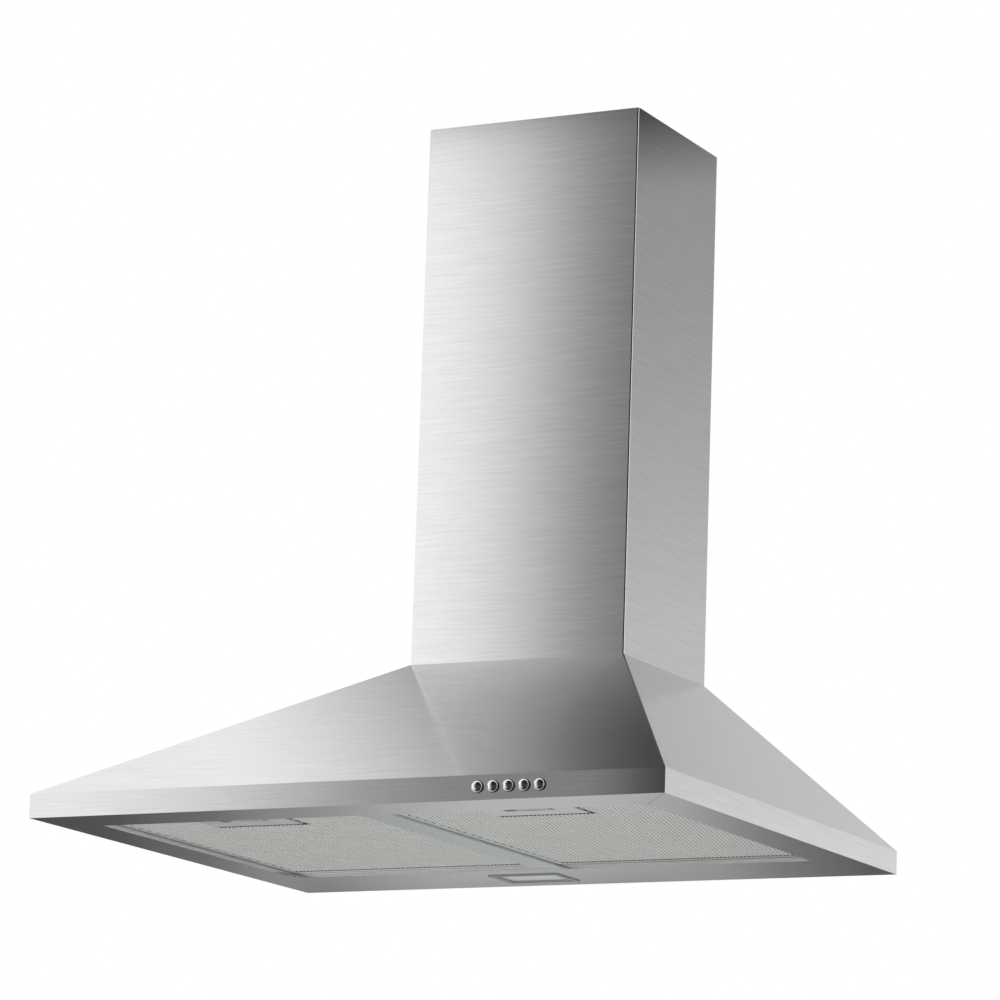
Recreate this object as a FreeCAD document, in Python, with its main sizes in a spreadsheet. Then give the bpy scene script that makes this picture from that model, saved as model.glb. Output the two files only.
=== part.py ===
"""Wall-mounted chimney range hood, 600 mm wide: folded steel canopy, telescopic chimney, two drop-down grease
filters, five push buttons, one lamp and a twin-inlet blower with a butterfly damper in its outlet.

Frame: +X to the right of someone who faces the hood, +Y towards the wall, +Z up. The origin lies on the wall
plane, below the middle of the back panel, at the level of the rim's underside. Sizes are in millimetres.
"""

import FreeCAD, Part

import math
import os
import re

import Sketcher
from FreeCAD import Placement, Rotation, Vector

SPARE_CELL = "E1"

doc = FreeCAD.newDocument("RangeHood")
sheet = doc.addObject("Spreadsheet::Sheet", "Dims")

# Driving dimensions: name, size, what it is.
SIZES = (
    ("canopy_width", 600.0, "over the rim, left to right"),
    ("canopy_depth", 500.0, "rim front to wall"),
    ("canopy_height", 180.0, "rim underside to the foot of the chimney"),
    ("rim_height", 21.0, "upright band round the canopy"),
    ("skin", 0.8, "thickness of the stainless sheet"),
    ("chimney_width", 214.0, "over the outer chimney"),
    ("chimney_depth", 175.0, "outer chimney front to wall"),
    ("chimney_height", 505.0, "length of the outer chimney"),
    ("upper_length", 488.0, "length of the inner, telescopic chimney"),
    ("bend_radius", 1.6, "outside radius of the chimney's folded corners"),
    ("return_width", 12.0, "chimney flange that lies along the wall"),
    ("slide_gap", 0.3, "play between the two chimneys, each side"),
    ("upstand", 15.0, "canopy collar inside the foot of the chimney"),
    ("vent_length", 60.0, "length of a recirculation slot"),
    ("vent_height", 5.0, "height of a recirculation slot"),
    ("vent_pitch", 12.0, "step from slot to slot"),
    ("vent_count", 5.0, "slots on each side"),
    ("vent_drop", 60.0, "top of the inner chimney down to its first slot"),
    ("side_strip", 41.0, "width of the rim's turned-in side strips"),
    ("front_strip", 56.0, "width of the turned-in front strip"),
    ("rear_strip", 100.0, "depth of the lamp panel"),
    ("lip_height", 14.0, "upturned edge round the filter opening"),
    ("mitre_gap", 0.35, "open joint between front and side strips"),
    ("panel_flange", 9.0, "forward flange round the back panel"),
    ("panel_play", 0.2, "play of a fixed panel, lens or bracket in what surrounds it"),
    ("rear_lip", 5.0, "upturned edge of the lamp panel along the wall"),
    ("bar_width", 28.0, "strip between the two filters"),
    ("bar_recess", 2.0, "how far that strip lies above the rim's underside"),
    ("filter_gap", 1.0, "play round each filter"),
    ("filter_recess", 4.0, "how far the filters lie above the rim's underside"),
    ("filter_thickness", 9.0, "grease filter cassette"),
    ("filter_skin", 0.6, "filter frame sheet"),
    ("filter_flange", 5.0, "visible border of the filter frame"),
    ("screen_skin", 0.7, "thickness of the expanded-metal screen"),
    ("layer_skin", 0.8, "each of the three mesh layers behind the screen"),
    ("tab_width", 20.0, "rear lug of a filter"),
    ("tab_reach", 4.0, "how far the lug stands out behind the filter"),
    ("tab_inset", 45.0, "filter side to the middle of its lug"),
    ("lug_lift", 1.3, "lug above the filter's underside"),
    ("lug_thickness", 2.0, "rear lug of a filter"),
    ("lug_play", 0.3, "play under a lug in its slot"),
    ("slot_play", 1.0, "play round a lug, a latch bolt or the latch plate in its opening"),
    ("mesh_across", 20.0, "drawn pitch of the screen's meshes, left to right"),
    ("mesh_along", 26.0, "drawn pitch of the screen's meshes, front to back"),
    ("mesh_half", 0.4, "half of an open mesh, as a share of its pitch"),
    ("mesh_margin", 17.0, "edge of the screen to its first mesh"),
    ("handle_width", 86.0, "latch plate in the filter"),
    ("handle_depth", 42.0, "latch plate, front to back"),
    ("handle_inset", 13.0, "filter front to the latch plate"),
    ("finger_width", 46.0, "finger slot in the latch plate"),
    ("finger_depth", 15.0, "finger slot, front to back"),
    ("finger_inset", 5.0, "front edge of the latch plate to the finger slot"),
    ("plate_wall", 1.2, "rear wall of the latch plate"),
    ("latch_width", 30.0, "sliding latch"),
    ("latch_play", 0.3, "bolt end to the front lip"),
    ("latch_lift", 0.1, "latch above its plate"),
    ("latch_sheet", 2.2, "sliding latch thickness"),
    ("latch_heel", 4.0, "latch behind the finger slot"),
    ("latch_side", 3.0, "strip of the latch beside its window"),
    ("tongue_thickness", 2.0, "downturned tongue that a finger pulls"),
    ("tongue_play", 1.0, "play of the tongue in the finger slot"),
    ("tongue_recess", 0.2, "tongue above the filter's underside"),
    ("gate_play", 0.5, "play of the latch in the filter's front edge, each side"),
    ("gate_height", 3.2, "opening for the latch in the filter's front edge"),
    ("latch_spring_radius", 1.7, "latch spring"),
    ("spring_wire", 0.6, "wall of a coil spring drawn as a sleeve"),
    ("spring_play", 0.1, "play at each end of a spring"),
    ("button_radius", 4.9, "push button cap"),
    ("button_lift", 0.5, "button axis above the middle of the rim"),
    ("button_proud", 4.5, "cap in front of the rim"),
    ("cap_crown", 2.1, "width of a cap's rounded edge"),
    ("cap_rise", 1.6, "depth of a cap's rounded edge"),
    ("cap_skirt", 2.5, "cap behind the front of the rim"),
    ("button_pitch", 14.2, "step from button to button"),
    ("button_middle", 159.5, "middle button, right of centre"),
    ("button_play", 0.4, "play of a cap in its hole"),
    ("stem_radius", 2.8, "button stem"),
    ("stem_end", 18.0, "rim front to the rear end of a stem"),
    ("stem_play", 0.3, "play of a stem or a return spring in its bore"),
    ("switch_width", 80.0, "five-button switch"),
    ("switch_front", 8.0, "rim front to the switch"),
    ("switch_depth", 30.0, "switch, front to back"),
    ("switch_drop", 2.0, "top of the rim down to the switch"),
    ("switch_floor", 2.0, "switch behind each stem's bore"),
    ("switch_ear", 10.0, "foot of the switch bracket beside the switch"),
    ("foot_screw_back", 8.0, "front of the switch to the screws of its bracket"),
    ("lamp_middle", -37.0, "middle of the lamp, left of centre"),
    ("lamp_back", 49.0, "wall to the middle of the lamp"),
    ("lamp_width", 70.0, "lamp bezel, left to right"),
    ("lamp_depth", 50.0, "lamp bezel, front to back"),
    ("bezel_border", 4.6, "border of the lamp bezel round its lens"),
    ("bezel_flange", 1.0, "bezel below the panel"),
    ("lens_thickness", 2.0, "lamp lens"),
    ("lens_recess", 1.0, "lens above the rim's underside"),
    ("lens_ledge", 1.0, "ledge of the bezel under the lens"),
    ("bezel_seat", 2.0, "overlap of the bezel's flange on the panel"),
    ("lamp_box_height", 22.0, "top of the lamp box"),
    ("lamp_wall", 1.4, "lamp box wall"),
    ("board_inset", 8.0, "edge of the bezel to the LED board"),
    ("board_thickness", 1.6, "LED board"),
    ("led_pitch", 16.0, "step between LEDs"),
    ("led_size", 4.0, "side of an LED"),
    ("led_height", 1.0, "LED below its board"),
    ("blower_width", 124.0, "fan scroll, left to right"),
    ("blower_radius", 78.0, "fan scroll"),
    ("blower_wall", 2.0, "fan scroll wall"),
    ("blower_back", 88.0, "wall to the fan shaft and the outlet's middle"),
    ("shaft_height", 142.0, "fan shaft above the rim's underside"),
    ("scroll_top", 244.0, "top of the fan scroll"),
    ("inlet_radius", 54.0, "round inlet in each side of the scroll"),
    ("impeller_radius", 62.0, "fan wheel"),
    ("impeller_width", 100.0, "fan wheel, left to right"),
    ("blade_count", 24.0, "blades of the fan wheel"),
    ("blade_chord", 13.0, "width of the wheel's rings, which hold the blades"),
    ("blade_margin", 0.4, "edge of a ring to a blade"),
    ("blade_thickness", 1.0, "fan blade"),
    ("blade_lean", 20.0, "forward lean of a blade in degrees"),
    ("wheel_disc", 2.5, "middle disc and rings of the wheel"),
    ("hub_radius", 10.0, "hub of the wheel"),
    ("hub_length", 14.0, "hub of the wheel"),
    ("shaft_radius", 4.0, "motor shaft"),
    ("motor_radius", 40.0, "motor can"),
    ("motor_start", 8.0, "middle of the fan to the motor's near end"),
    ("motor_length", 66.0, "motor can"),
    ("can_wall", 2.0, "motor can wall"),
    ("bush_wall", 3.0, "bush round the shaft"),
    ("bush_length", 6.0, "bush"),
    ("shaft_nose", 1.0, "shaft beyond the wheel's hub"),
    ("shaft_tail", 4.0, "shaft beyond the motor's far end"),
    ("air_gap", 0.5, "rotor to stator"),
    ("spider_ring", 4.0, "ring of the motor spider round the can"),
    ("spider_depth", 10.0, "ring of the motor spider along the can"),
    ("spider_gauge", 2.5, "arm of the motor spider"),
    ("spider_grip", 7.0, "screw of the motor spider, below its head"),
    ("arm_width", 12.0, "arm of the motor spider"),
    ("arm_reach", 7.0, "edge of the inlet to an arm's screw"),
    ("arm_end", 5.0, "arm beyond its screw"),
    ("rotor_radius", 22.0, "motor rotor"),
    ("running_gap", 0.05, "radial play of a shaft in its bush"),
    ("outlet_radius", 60.0, "duct spigot, outside"),
    ("outlet_wall", 1.8, "duct spigot wall"),
    ("outlet_height", 55.0, "duct spigot"),
    ("flange_thickness", 2.0, "flange under the duct spigot"),
    ("ledge_width", 4.0, "ledge inside the spigot that the flaps close on"),
    ("ledge_height", 1.5, "ledge inside the spigot"),
    ("ledge_gap", 0.2, "closed flap above its ledge"),
    ("flap_thickness", 1.2, "damper flap"),
    ("flap_pin_radius", 1.5, "damper hinge pin"),
    ("flap_level", 26.0, "damper pin above the foot of the spigot"),
    ("flap_gap", 0.8, "play between flap and spigot"),
    ("flap_setback", 4.0, "damper pin to the straight edge of a flap"),
    ("knuckle_wall", 1.2, "wall of a flap's knuckle"),
    ("knuckle_length", 18.0, "knuckle of a flap"),
    ("knuckle_pitch", 24.0, "step between knuckles, which belong to the two flaps in turn"),
    ("knuckle_play", 0.4, "play of a knuckle in the ledge's notch"),
    ("pin_inset", 0.5, "end of the damper pin below the spigot's outside"),
    ("bracket_height", 32.0, "wall bracket of the inner chimney"),
    ("bracket_drop", 12.0, "top of the inner chimney down to its bracket"),
    ("bracket_sheet", 1.5, "wall bracket thickness"),
    ("bracket_ear", 24.0, "forward ear of the wall bracket"),
    ("bracket_play", 1.0, "play above and below the wall bracket in the inner chimney"),
    ("countersink_play", 0.1, "play round a flush screw head"),
    ("ear_screw_grip", 6.0, "flush screw below its head"),
    ("bracket_spacing", 140.0, "between the bracket's two wall slots"),
    ("hang_spacing", 150.0, "between the two hanging slots"),
    ("hang_level", 140.0, "height of the hanging slots"),
    ("wall_slot_length", 16.0, "wall slot, end to end"),
    ("wall_slot_radius", 3.2, "half the width of a wall slot"),
    ("wall_hole_spacing", 360.0, "between the two lower wall holes"),
    ("wall_hole_level", 62.0, "height of the lower wall holes"),
    ("wall_hole_radius", 4.0, "lower wall hole"),
    ("box_width", 84.0, "terminal box"),
    ("box_depth", 46.0, "terminal box, front to back"),
    ("box_height", 40.0, "terminal box"),
    ("box_inset", 58.0, "left end of the rim to the terminal box"),
    ("box_floor", 6.0, "terminal box above the rim's underside"),
    ("box_wall", 2.0, "terminal box wall"),
    ("terminal_count", 5.0, "terminals"),
    ("terminal_pitch", 11.0, "step between terminals"),
    ("terminal_width", 10.0, "terminal"),
    ("terminal_depth", 14.0, "terminal, front to back"),
    ("terminal_height", 16.0, "terminal"),
    ("terminal_inset", 12.0, "side of the box to its first terminal"),
    ("terminal_lift", 12.0, "floor of the box to the terminals"),
    ("rail_end", 2.0, "terminal rail beyond the last terminal"),
    ("rail_depth", 8.0, "terminal rail, front to back"),
    ("rail_height", 10.0, "terminal rail"),
    ("cable_hole_radius", 7.0, "hole in the back panel for the mains lead's grommet"),
    ("cable_radius", 4.0, "bore of the grommet"),
    ("grommet_lift", 16.0, "top of the terminal box to the grommet's middle"),
    ("grommet_head", 9.5, "head of the grommet"),
    ("grommet_depth", 3.5, "wall to the front of the grommet"),
    ("grommet_play", 0.1, "grommet to the wall and to its hole"),
    ("loom_radius", 3.0, "wiring loom from the switch"),
    ("lead_radius", 2.2, "lead of the lamp or the motor"),
    ("lead_play", 0.3, "play of a lead in a hole"),
    ("loom_stand", 10.0, "back panel to the loom's middle"),
    ("loom_lift", 0.5, "loom above the turned-up lips"),
    ("loom_run", 10.0, "rear of the switch to the loom's first bend"),
    ("loom_climb", 50.0, "first bend of the loom to its level run"),
    ("loom_bend", 8.0, "bend of the loom"),
    ("lead_bend", 7.0, "bend of a lead"),
    ("lead_end", 5.0, "lead inside the terminal box's side or top"),
    ("lamp_lead_inset", 8.0, "front of the terminal box to the lamp's lead"),
    ("lamp_lead_drop", 8.0, "top of the lamp box to the lamp's lead"),
    ("motor_lead_offset", 22.0, "shaft to the motor's lead, towards the wall"),
    ("motor_lead_run", 18.0, "far end of the motor to its lead's first bend"),
    ("motor_lead_drop", 22.0, "first bend of the motor's lead to its second"),
    ("motor_lead_lift", 12.0, "top of the terminal box to the lead above it"),
    ("motor_entry_inset", 12.0, "side of the terminal box to the motor's lead"),
    ("capacitor_level", 80.0, "middle of the motor capacitor"),
    ("capacitor_radius", 14.0, "motor capacitor"),
    ("capacitor_length", 52.0, "motor capacitor"),
    ("capacitor_stand", 3.0, "back panel to the capacitor"),
    ("capacitor_gap", 34.0, "terminal box to the capacitor"),
    ("saddle_width", 16.0, "clip round the capacitor"),
    ("saddle_wall", 2.0, "clip round the capacitor"),
    ("cheek_reach", 30.0, "wall to the front of the blower bracket's cheeks"),
    ("cheek_height", 44.0, "cheek of the blower bracket"),
    ("cheek_screw_inset", 8.0, "front edge of a cheek to its screws"),
    ("bracket_gauge", 1.2, "blower bracket sheet"),
    ("screw_radius", 2.0, "sheet screw shank"),
    ("screw_play", 0.05, "play of a shank in its hole"),
    ("screw_grip", 5.0, "sheet screw below its head"),
    ("screw_head", 3.8, "sheet screw head radius"),
    ("screw_head_height", 2.2, "sheet screw head"),
)
ALIASES = [name for name, value, note in SIZES]
NAMES_IN_TEXT = re.compile(r"(?<![A-Za-z_.])(" + "|".join(sorted(ALIASES, key=len,
                                                                 reverse=True)) + r")(?![A-Za-z_])")


def fill_sheet():
    """Writes each driving dimension with its alias and its note."""
    for row, (name, value, note) in enumerate(SIZES, start=1):
        sheet.set(f"A{row}", name)
        sheet.set(f"B{row}", str(value))
        sheet.setAlias(f"B{row}", name)
        sheet.set(f"C{row}", note)
    doc.recompute()


def size(name):
    """The value of one cell, for the few shapes that are made by Part's own functions."""
    return float(sheet.get(name))


def measure(text):
    """The value of a text of sizes and arithmetic, worked out by the sheet itself in one spare cell."""
    sheet.set(SPARE_CELL, "=" + text)
    sheet.recompute()
    return float(sheet.get(SPARE_CELL))


def bind(thing, prop, text):
    """Ties a property to the sheet: every dimension's name in text becomes a reference to its cell."""
    thing.setExpression(prop, NAMES_IN_TEXT.sub(r"Dims.\1", f"{text}"))


def place(thing, x, y, z):
    bind(thing, "Placement.Base.x", x)
    bind(thing, "Placement.Base.y", y)
    bind(thing, "Placement.Base.z", z)


# ---- building blocks: each returns a document object whose sizes are bound to the sheet ----

TURN_TO = {
    "x": Rotation(Vector(0, 1, 0), 90),
    "y": Rotation(Vector(1, 0, 0), -90),
    "z": Rotation(),
}


def block(name, x0, x1, y0, y1, z0, z1):
    """A box between two corners."""
    made = doc.addObject("Part::Box", name)
    bind(made, "Length", f"({x1}) - ({x0})")
    bind(made, "Width", f"({y1}) - ({y0})")
    bind(made, "Height", f"({z1}) - ({z0})")
    place(made, x0, y0, z0)
    return made


def rod(name, along, radius, length, x, y, z):
    """A cylinder that starts at x, y, z and runs along one axis."""
    made = doc.addObject("Part::Cylinder", name)
    made.Placement = Placement(Vector(), TURN_TO[along])
    bind(made, "Radius", radius)
    bind(made, "Height", length)
    place(made, x, y, z)
    return made


def taper(name, half_low, front_low, half_high, front_high, back, z0, z1):
    """A pyramid slice with an upright back: half widths and front edges at its foot z0 and its top z1."""
    made = doc.addObject("Part::Wedge", name)
    made.Placement = Placement(Vector(), Rotation(Vector(1, 0, 0), 90))
    for prop, text in (
        ("Xmin", f"-({half_low})"), ("Xmax", half_low), ("X2min", f"-({half_high})"), ("X2max", half_high),
        ("Zmin", f"-({back})"), ("Zmax", f"-({front_low})"), ("Z2min", f"-({back})"),
                       ("Z2max", f"-({front_high})"),
        ("Ymin", z0), ("Ymax", z1),
    ):
        bind(made, prop, text)
    return made


def joined(name, *pieces):
    made = doc.addObject("Part::MultiFuse", name)
    made.Shapes = list(pieces)
    made.Refine = True
    return made


def shared(name, first, second):
    made = doc.addObject("Part::MultiCommon", name)
    made.Shapes = [first, second]
    return made


def less(name, base, *tools):
    """base with every tool cut away."""
    made = doc.addObject("Part::Cut", name)
    made.Base = base
    made.Tool = tools[0] if len(tools) == 1 else joined(f"{name}_tools", *tools)
    made.Refine = True
    return made


def tube(name, along, outer, inner, length, x, y, z):
    return less(name, rod(f"{name}_outside", along, outer, length, x, y, z),
                rod(f"{name}_bore", along, inner, length, x, y, z))


def slot_tool(name, half_length, radius, depth, x, y, z):
    """A level round-ended slot through a wall that faces the front; x, y, z: its middle at the wall's front."""
    return joined(
        name,
        block(f"{name}_middle", f"{x} - ({half_length} - {radius})", f"{x} + ({half_length} - {radius})",
              y, f"{y} + {depth}", f"{z} - {radius}", f"{z} + {radius}"),
        rod(f"{name}_left", "y", radius, depth, f"{x} - ({half_length} - {radius})", y, z),
        rod(f"{name}_right", "y", radius, depth, f"{x} + ({half_length} - {radius})", y, z),
    )


def screw(name, along, way, x, y, z, grip):
    """A pan-head sheet screw: its head's underside lies at x, y, z; its shank runs the way given, 1 or -1."""
    def start(length):
        spot = {"x": x, "y": y, "z": z}
        spot[along] = f"{spot[along]} - {length}"
        return spot["x"], spot["y"], spot["z"]

    head = rod(f"{name}_head", along, "screw_head", "screw_head_height",
               *start("screw_head_height" if way > 0 else "0"))
    shank = rod(f"{name}_shank", along, "screw_radius", grip, *start("0" if way > 0 else f"({grip})"))
    return joined(name, head, shank)


def cone(name, near, far, length, x, y, z):
    """A cone along +X."""
    made = doc.addObject("Part::Cone", name)
    made.Placement = Placement(Vector(), TURN_TO["x"])
    bind(made, "Radius1", near)
    bind(made, "Radius2", far)
    bind(made, "Height", length)
    place(made, x, y, z)
    return made


NODES = []


def node(made, label):
    """Names a finished sub-part; its label is its file's name."""
    made.Label = label
    NODES.append(made)
    return made


def part_design(label):
    body = doc.addObject("PartDesign::Body", f"{label}_body")
    NODES.append(body)
    body.Label = label
    return body


def plane(body, role):
    return next(f for f in body.Origin.OriginFeatures if f.Role == role)


def sketch(body, name, role, lift, *loops):
    """A sketch on one of the body's planes. A loop is ("ring", u, v, radius) or a list of (u, v) corners."""
    made = body.newObject("Sketcher::SketchObject", name)
    made.AttachmentSupport = [(plane(body, role), "")]
    made.MapMode = "FlatFace"
    bind(made, "AttachmentOffset.Base.z", lift)
    for loop in loops:
        if loop[0] == "ring":
            at = made.addGeometry(Part.Circle(Vector(), Vector(0, 0, 1), 1.0))
            made_at = [(at, 3, loop[1], loop[2])]
            radius = made.addConstraint(Sketcher.Constraint("Radius", at, 1.0))
            bind(made, f"Constraints[{radius}]", loop[3])
        else:
            made_at = add_corners(made, loop)
        for geometry, point, u, v in made_at:
            for kind, text in (("DistanceX", u), ("DistanceY", v)):
                spot = made.addConstraint(Sketcher.Constraint(kind, -1, 1, geometry, point, 1.0))
                bind(made, f"Constraints[{spot}]", text)
    return made


def add_corners(made, corners):
    """Adds a closed outline of straight lines to a sketch and says which points its corners are."""
    count = len(corners)
    rough = [Vector(math.cos(2 * math.pi * i / count), math.sin(2 * math.pi * i / count),
                    0) for i in range(count)]
    first = [made.addGeometry(Part.LineSegment(rough[i], rough[(i + 1) % count])) for i in range(count)]
    for i in range(count):
        made.addConstraint(Sketcher.Constraint("Coincident", first[i], 2, first[(i + 1) % count], 1))
    return [(first[i], 1, u, v) for i, (u, v) in enumerate(corners)]


def raised(body, kind, name, profile, length):
    """A Pad, or a Pocket, that runs the way the sketch's plane faces."""
    made = body.newObject(f"PartDesign::{kind}", name)
    made.Profile = profile
    made.Reversed = kind == "Pocket"
    bind(made, "Length", length)
    doc.recompute()
    return made


def turned(body, name, profile, axis):
    made = body.newObject("PartDesign::Revolution", name)
    made.Profile = profile
    made.ReferenceAxis = (profile, [axis])
    made.Angle = 360
    doc.recompute()
    return made


def box_corners(u0, u1, v0, v1):
    return [(u0, v0), (u1, v0), (u1, v1), (u0, v1)]


# ---- canopy: one folded stainless shell, open at the back ----

HALF = "canopy_width / 2"
OPEN_HALF = "(canopy_width / 2 - side_strip)"
OPEN_FRONT = "(front_strip - canopy_depth)"
SLOPE_RISE = "(canopy_height - rim_height)"
SLOPE_RUN_X = "((canopy_width - chimney_width) / 2)"
SLOPE_RUN_Y = "(canopy_depth - chimney_depth)"
WALL_X = f"skin * sqrt({SLOPE_RUN_X}^2 + {SLOPE_RISE}^2) / {SLOPE_RISE}"
WALL_Y = f"skin * sqrt({SLOPE_RUN_Y}^2 + {SLOPE_RISE}^2) / {SLOPE_RISE}"
UP_HALF = "(chimney_width / 2 - skin - slide_gap)"
UP_FRONT = "(skin + slide_gap - chimney_depth)"
PLATE_TOP = "(filter_recess + filter_skin + screen_skin)"
LATCH_FLOOR = f"({PLATE_TOP} + latch_lift)"
LAYERS = 3
THREAD = "screw_radius + screw_play"
TINY = 1e-6
LAMP_X = ("lamp_middle - lamp_width / 2", "lamp_middle + lamp_width / 2")
LAMP_Y = ("-lamp_back - lamp_depth / 2", "-lamp_back + lamp_depth / 2")
STRAP_SCREWS = [(f"({side} * blower_width / 3)", "shaft_height - cheek_height / 4") for side in (-1, 1)]
BOX_X = ("(box_inset - canopy_width / 2)", "(box_inset + box_width - canopy_width / 2)")
BOX_Z = ("box_floor", "(box_floor + box_height)")
GROMMET_X = f"({BOX_X[0]} + box_width / 2)"
GROMMET_Z = f"({BOX_Z[1]} + grommet_lift)"
LOOM_BACK = "(-skin - loom_stand)"
LOOM_LEVEL = "(lip_height + loom_radius + loom_lift)"
LAMP_LEAD_Y = "(lamp_lead_inset - box_depth)"
LAMP_LEAD_Z = "(lamp_box_height - lamp_lead_drop)"
MOTOR_DROP_X = f"({BOX_X[1]} - motor_entry_inset)"
MOTOR_LEAD_Y = "(-box_depth / 2)"
CAPACITOR_X = f"({BOX_X[1]} + capacitor_gap)"
BUTTON_X = [f"(button_middle + {step} * button_pitch)" for step in (-2, -1, 0, 1, 2)]
BUTTON_Z = "(rim_height / 2 + button_lift)"


def pyramid(name, grow_x, grow_y):
    """The slopes carried straight down to the rim's underside, moved out by grow_x and grow_y."""
    low_x = f"{HALF} + rim_height * {SLOPE_RUN_X} / {SLOPE_RISE} + ({grow_x})"
    low_y = f"-canopy_depth - rim_height * {SLOPE_RUN_Y} / {SLOPE_RISE} - ({grow_y})"
    return taper(name, low_x, low_y, f"chimney_width / 2 + ({grow_x})", f"-chimney_depth - ({grow_y})",
                 "skin", "0", "canopy_height")


def canopy_shell():
    outside = shared("canopy_outside", pyramid("canopy_slopes", "0", "0"),
                     block("canopy_bounds", f"-{HALF}", HALF, "-canopy_depth", "0", "0", "canopy_height"))
    inside = shared("canopy_inside", pyramid("inner_slopes", f"-{WALL_X}", f"-{WALL_Y}"),
                    block("inner_bounds", f"-{HALF} + skin", f"{HALF} - skin", "skin - canopy_depth", "skin",
                          "skin", "canopy_height"))
    opening = block("filter_opening", f"-{OPEN_HALF}", OPEN_HALF, OPEN_FRONT, "skin", "-skin", "2 * skin")
    holes = [rod(f"button_hole_{i}", "y", "button_radius + button_play", "3 * skin", x,
                 "-canopy_depth - skin", BUTTON_Z) for i, x in enumerate(BUTTON_X, start=1)]
    shell = less("canopy_sheet", outside, inside, opening, mitre("right", 1), mitre("left", -1), *holes)
    side_lips = [block(f"lip_{side}", f"{sign}{OPEN_HALF} - ({back})", f"{sign}{OPEN_HALF} + ({out})",
                       f"{OPEN_FRONT} - skin", "-skin", "0", "lip_height")
                 for side, sign, back, out in (("left", "-", "skin", "0"), ("right", "", "0", "skin"))]
    front_lip = less("lip_front", block("lip_front_strip", f"-{OPEN_HALF}", OPEN_HALF, f"{OPEN_FRONT} - skin",
                                        OPEN_FRONT, "0", "lip_height"),
                     *[block(f"latch_slot_{side}", f"{middle} - latch_width / 2 - slot_play",
                             f"{middle} + latch_width / 2 + slot_play", f"{OPEN_FRONT} - 2 * skin",
                             f"{OPEN_FRONT} + skin", f"{LATCH_FLOOR} - slot_play",
                             f"{LATCH_FLOOR} + latch_sheet + slot_play")
                       for side, middle in FILTER_MIDDLE.items()])
    collar_out = block("collar_outside", f"-{UP_HALF}", UP_HALF, UP_FRONT, "-skin",
                       "canopy_height - 3 * skin", "canopy_height + upstand")
    collar_in = block("collar_inside", f"-{UP_HALF} + skin", f"{UP_HALF} - skin", f"{UP_FRONT} + skin", "0",
                      "canopy_height - 4 * skin", "canopy_height + upstand + skin")
    shelf = less("collar_shelf", block("shelf_plate", "-chimney_width / 2", "chimney_width / 2",
                                       "-chimney_depth", "-skin", "canopy_height - skin", "canopy_height"),
                 block("shelf_hole", f"-{UP_HALF} + skin", f"{UP_HALF} - skin", f"{UP_FRONT} + skin", "0",
                       "canopy_height - 2 * skin", "canopy_height + skin"))
    collar = less("collar", collar_out, collar_in)
    node(joined("canopy", shell, *side_lips, front_lip, collar, shelf), "canopy_shell")


def mitre(side, sign):
    """The open joint from the rim's front corner to the corner of the filter opening, inside the skirt."""
    along, across = size("side_strip"), size("front_strip")
    length, gap = math.hypot(along, across), size("mitre_gap")
    corner = Vector(sign * (size("canopy_width") / 2), -size("canopy_depth"), 0)
    run = Vector(-sign * along / length, across / length, 0)
    off = Vector(-run.y, run.x, 0) * (gap / 2)
    start, end = corner + run * (3 * size("skin")), corner + run * length
    outline = Part.makePolygon([p + Vector(0, 0, -size("skin")) for p in
                                (start - off, end - off, end + off, start + off, start - off)])
    made = doc.addObject("Part::Feature", f"mitre_{side}")
    made.Shape = Part.Face(outline).extrude(Vector(0, 0, 3 * size("skin")))
    return made


# ---- back panel, lamp panel and the strip between the filters ----

def back_panel():
    """A flanged plate that closes the canopy's back and hangs it on the wall."""
    def trapezium(name, inset_x, inset_top, back, front):
        inset = f"{WALL_X} + panel_play + {inset_x}"
        slopes = taper(f"{name}_slopes", f"{HALF} + rim_height * {SLOPE_RUN_X} / {SLOPE_RISE} - ({inset})",
                       front, f"chimney_width / 2 - ({inset})", front, back, "0", "canopy_height")
        half = f"({HALF} - skin - panel_play - {inset_top})"
        bounds = block(f"{name}_bounds", f"-{half}", half, front, back, "0",
                       f"canopy_height - 4 * skin - {inset_top}")
        return shared(name, slopes, bounds)

    plate = trapezium("back_plate", "0", "0", "0", "-panel_flange")
    hollow = trapezium("back_hollow", WALL_X, "skin", "-skin", "-panel_flange")
    feet = [block("back_feet", f"-{HALF}", HALF, "-panel_flange", "-skin", "-skin", "2 * skin")]
    for side, sign in (("left", "-"), ("right", "")):
        outer, inner = f"{sign}{HALF}", f"{sign}{OPEN_HALF}"
        low, high = (outer, inner) if sign else (inner, outer)
        feet.append(block(f"strip_room_{side}", low, high, "-panel_flange", "skin", "-skin", "skin"))
    slots = [slot_tool(f"hang_slot_{side}", "wall_slot_length / 2", "wall_slot_radius", "4 * skin",
                       f"({sign} hang_spacing / 2)", "-2 * skin", "hang_level")
             for side, sign in (("left", "-"), ("right", ""))]
    holes = [rod(f"wall_hole_{side}", "y", "wall_hole_radius", "4 * skin", f"{sign} wall_hole_spacing / 2",
                 "-2 * skin", "wall_hole_level") for side, sign in (("left", "-"), ("right", ""))]
    cable = rod("cable_hole", "y", "cable_hole_radius", "4 * skin", GROMMET_X, "-2 * skin", GROMMET_Z)
    threads = [rod(f"strap_thread_{i}", "y", THREAD, "4 * skin", x, "-2 * skin", z)
               for i, (x, z) in enumerate(STRAP_SCREWS)]
    node(less("back", plate, hollow, *feet, cable, *threads, *slots, *holes), "back_panel")


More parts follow.
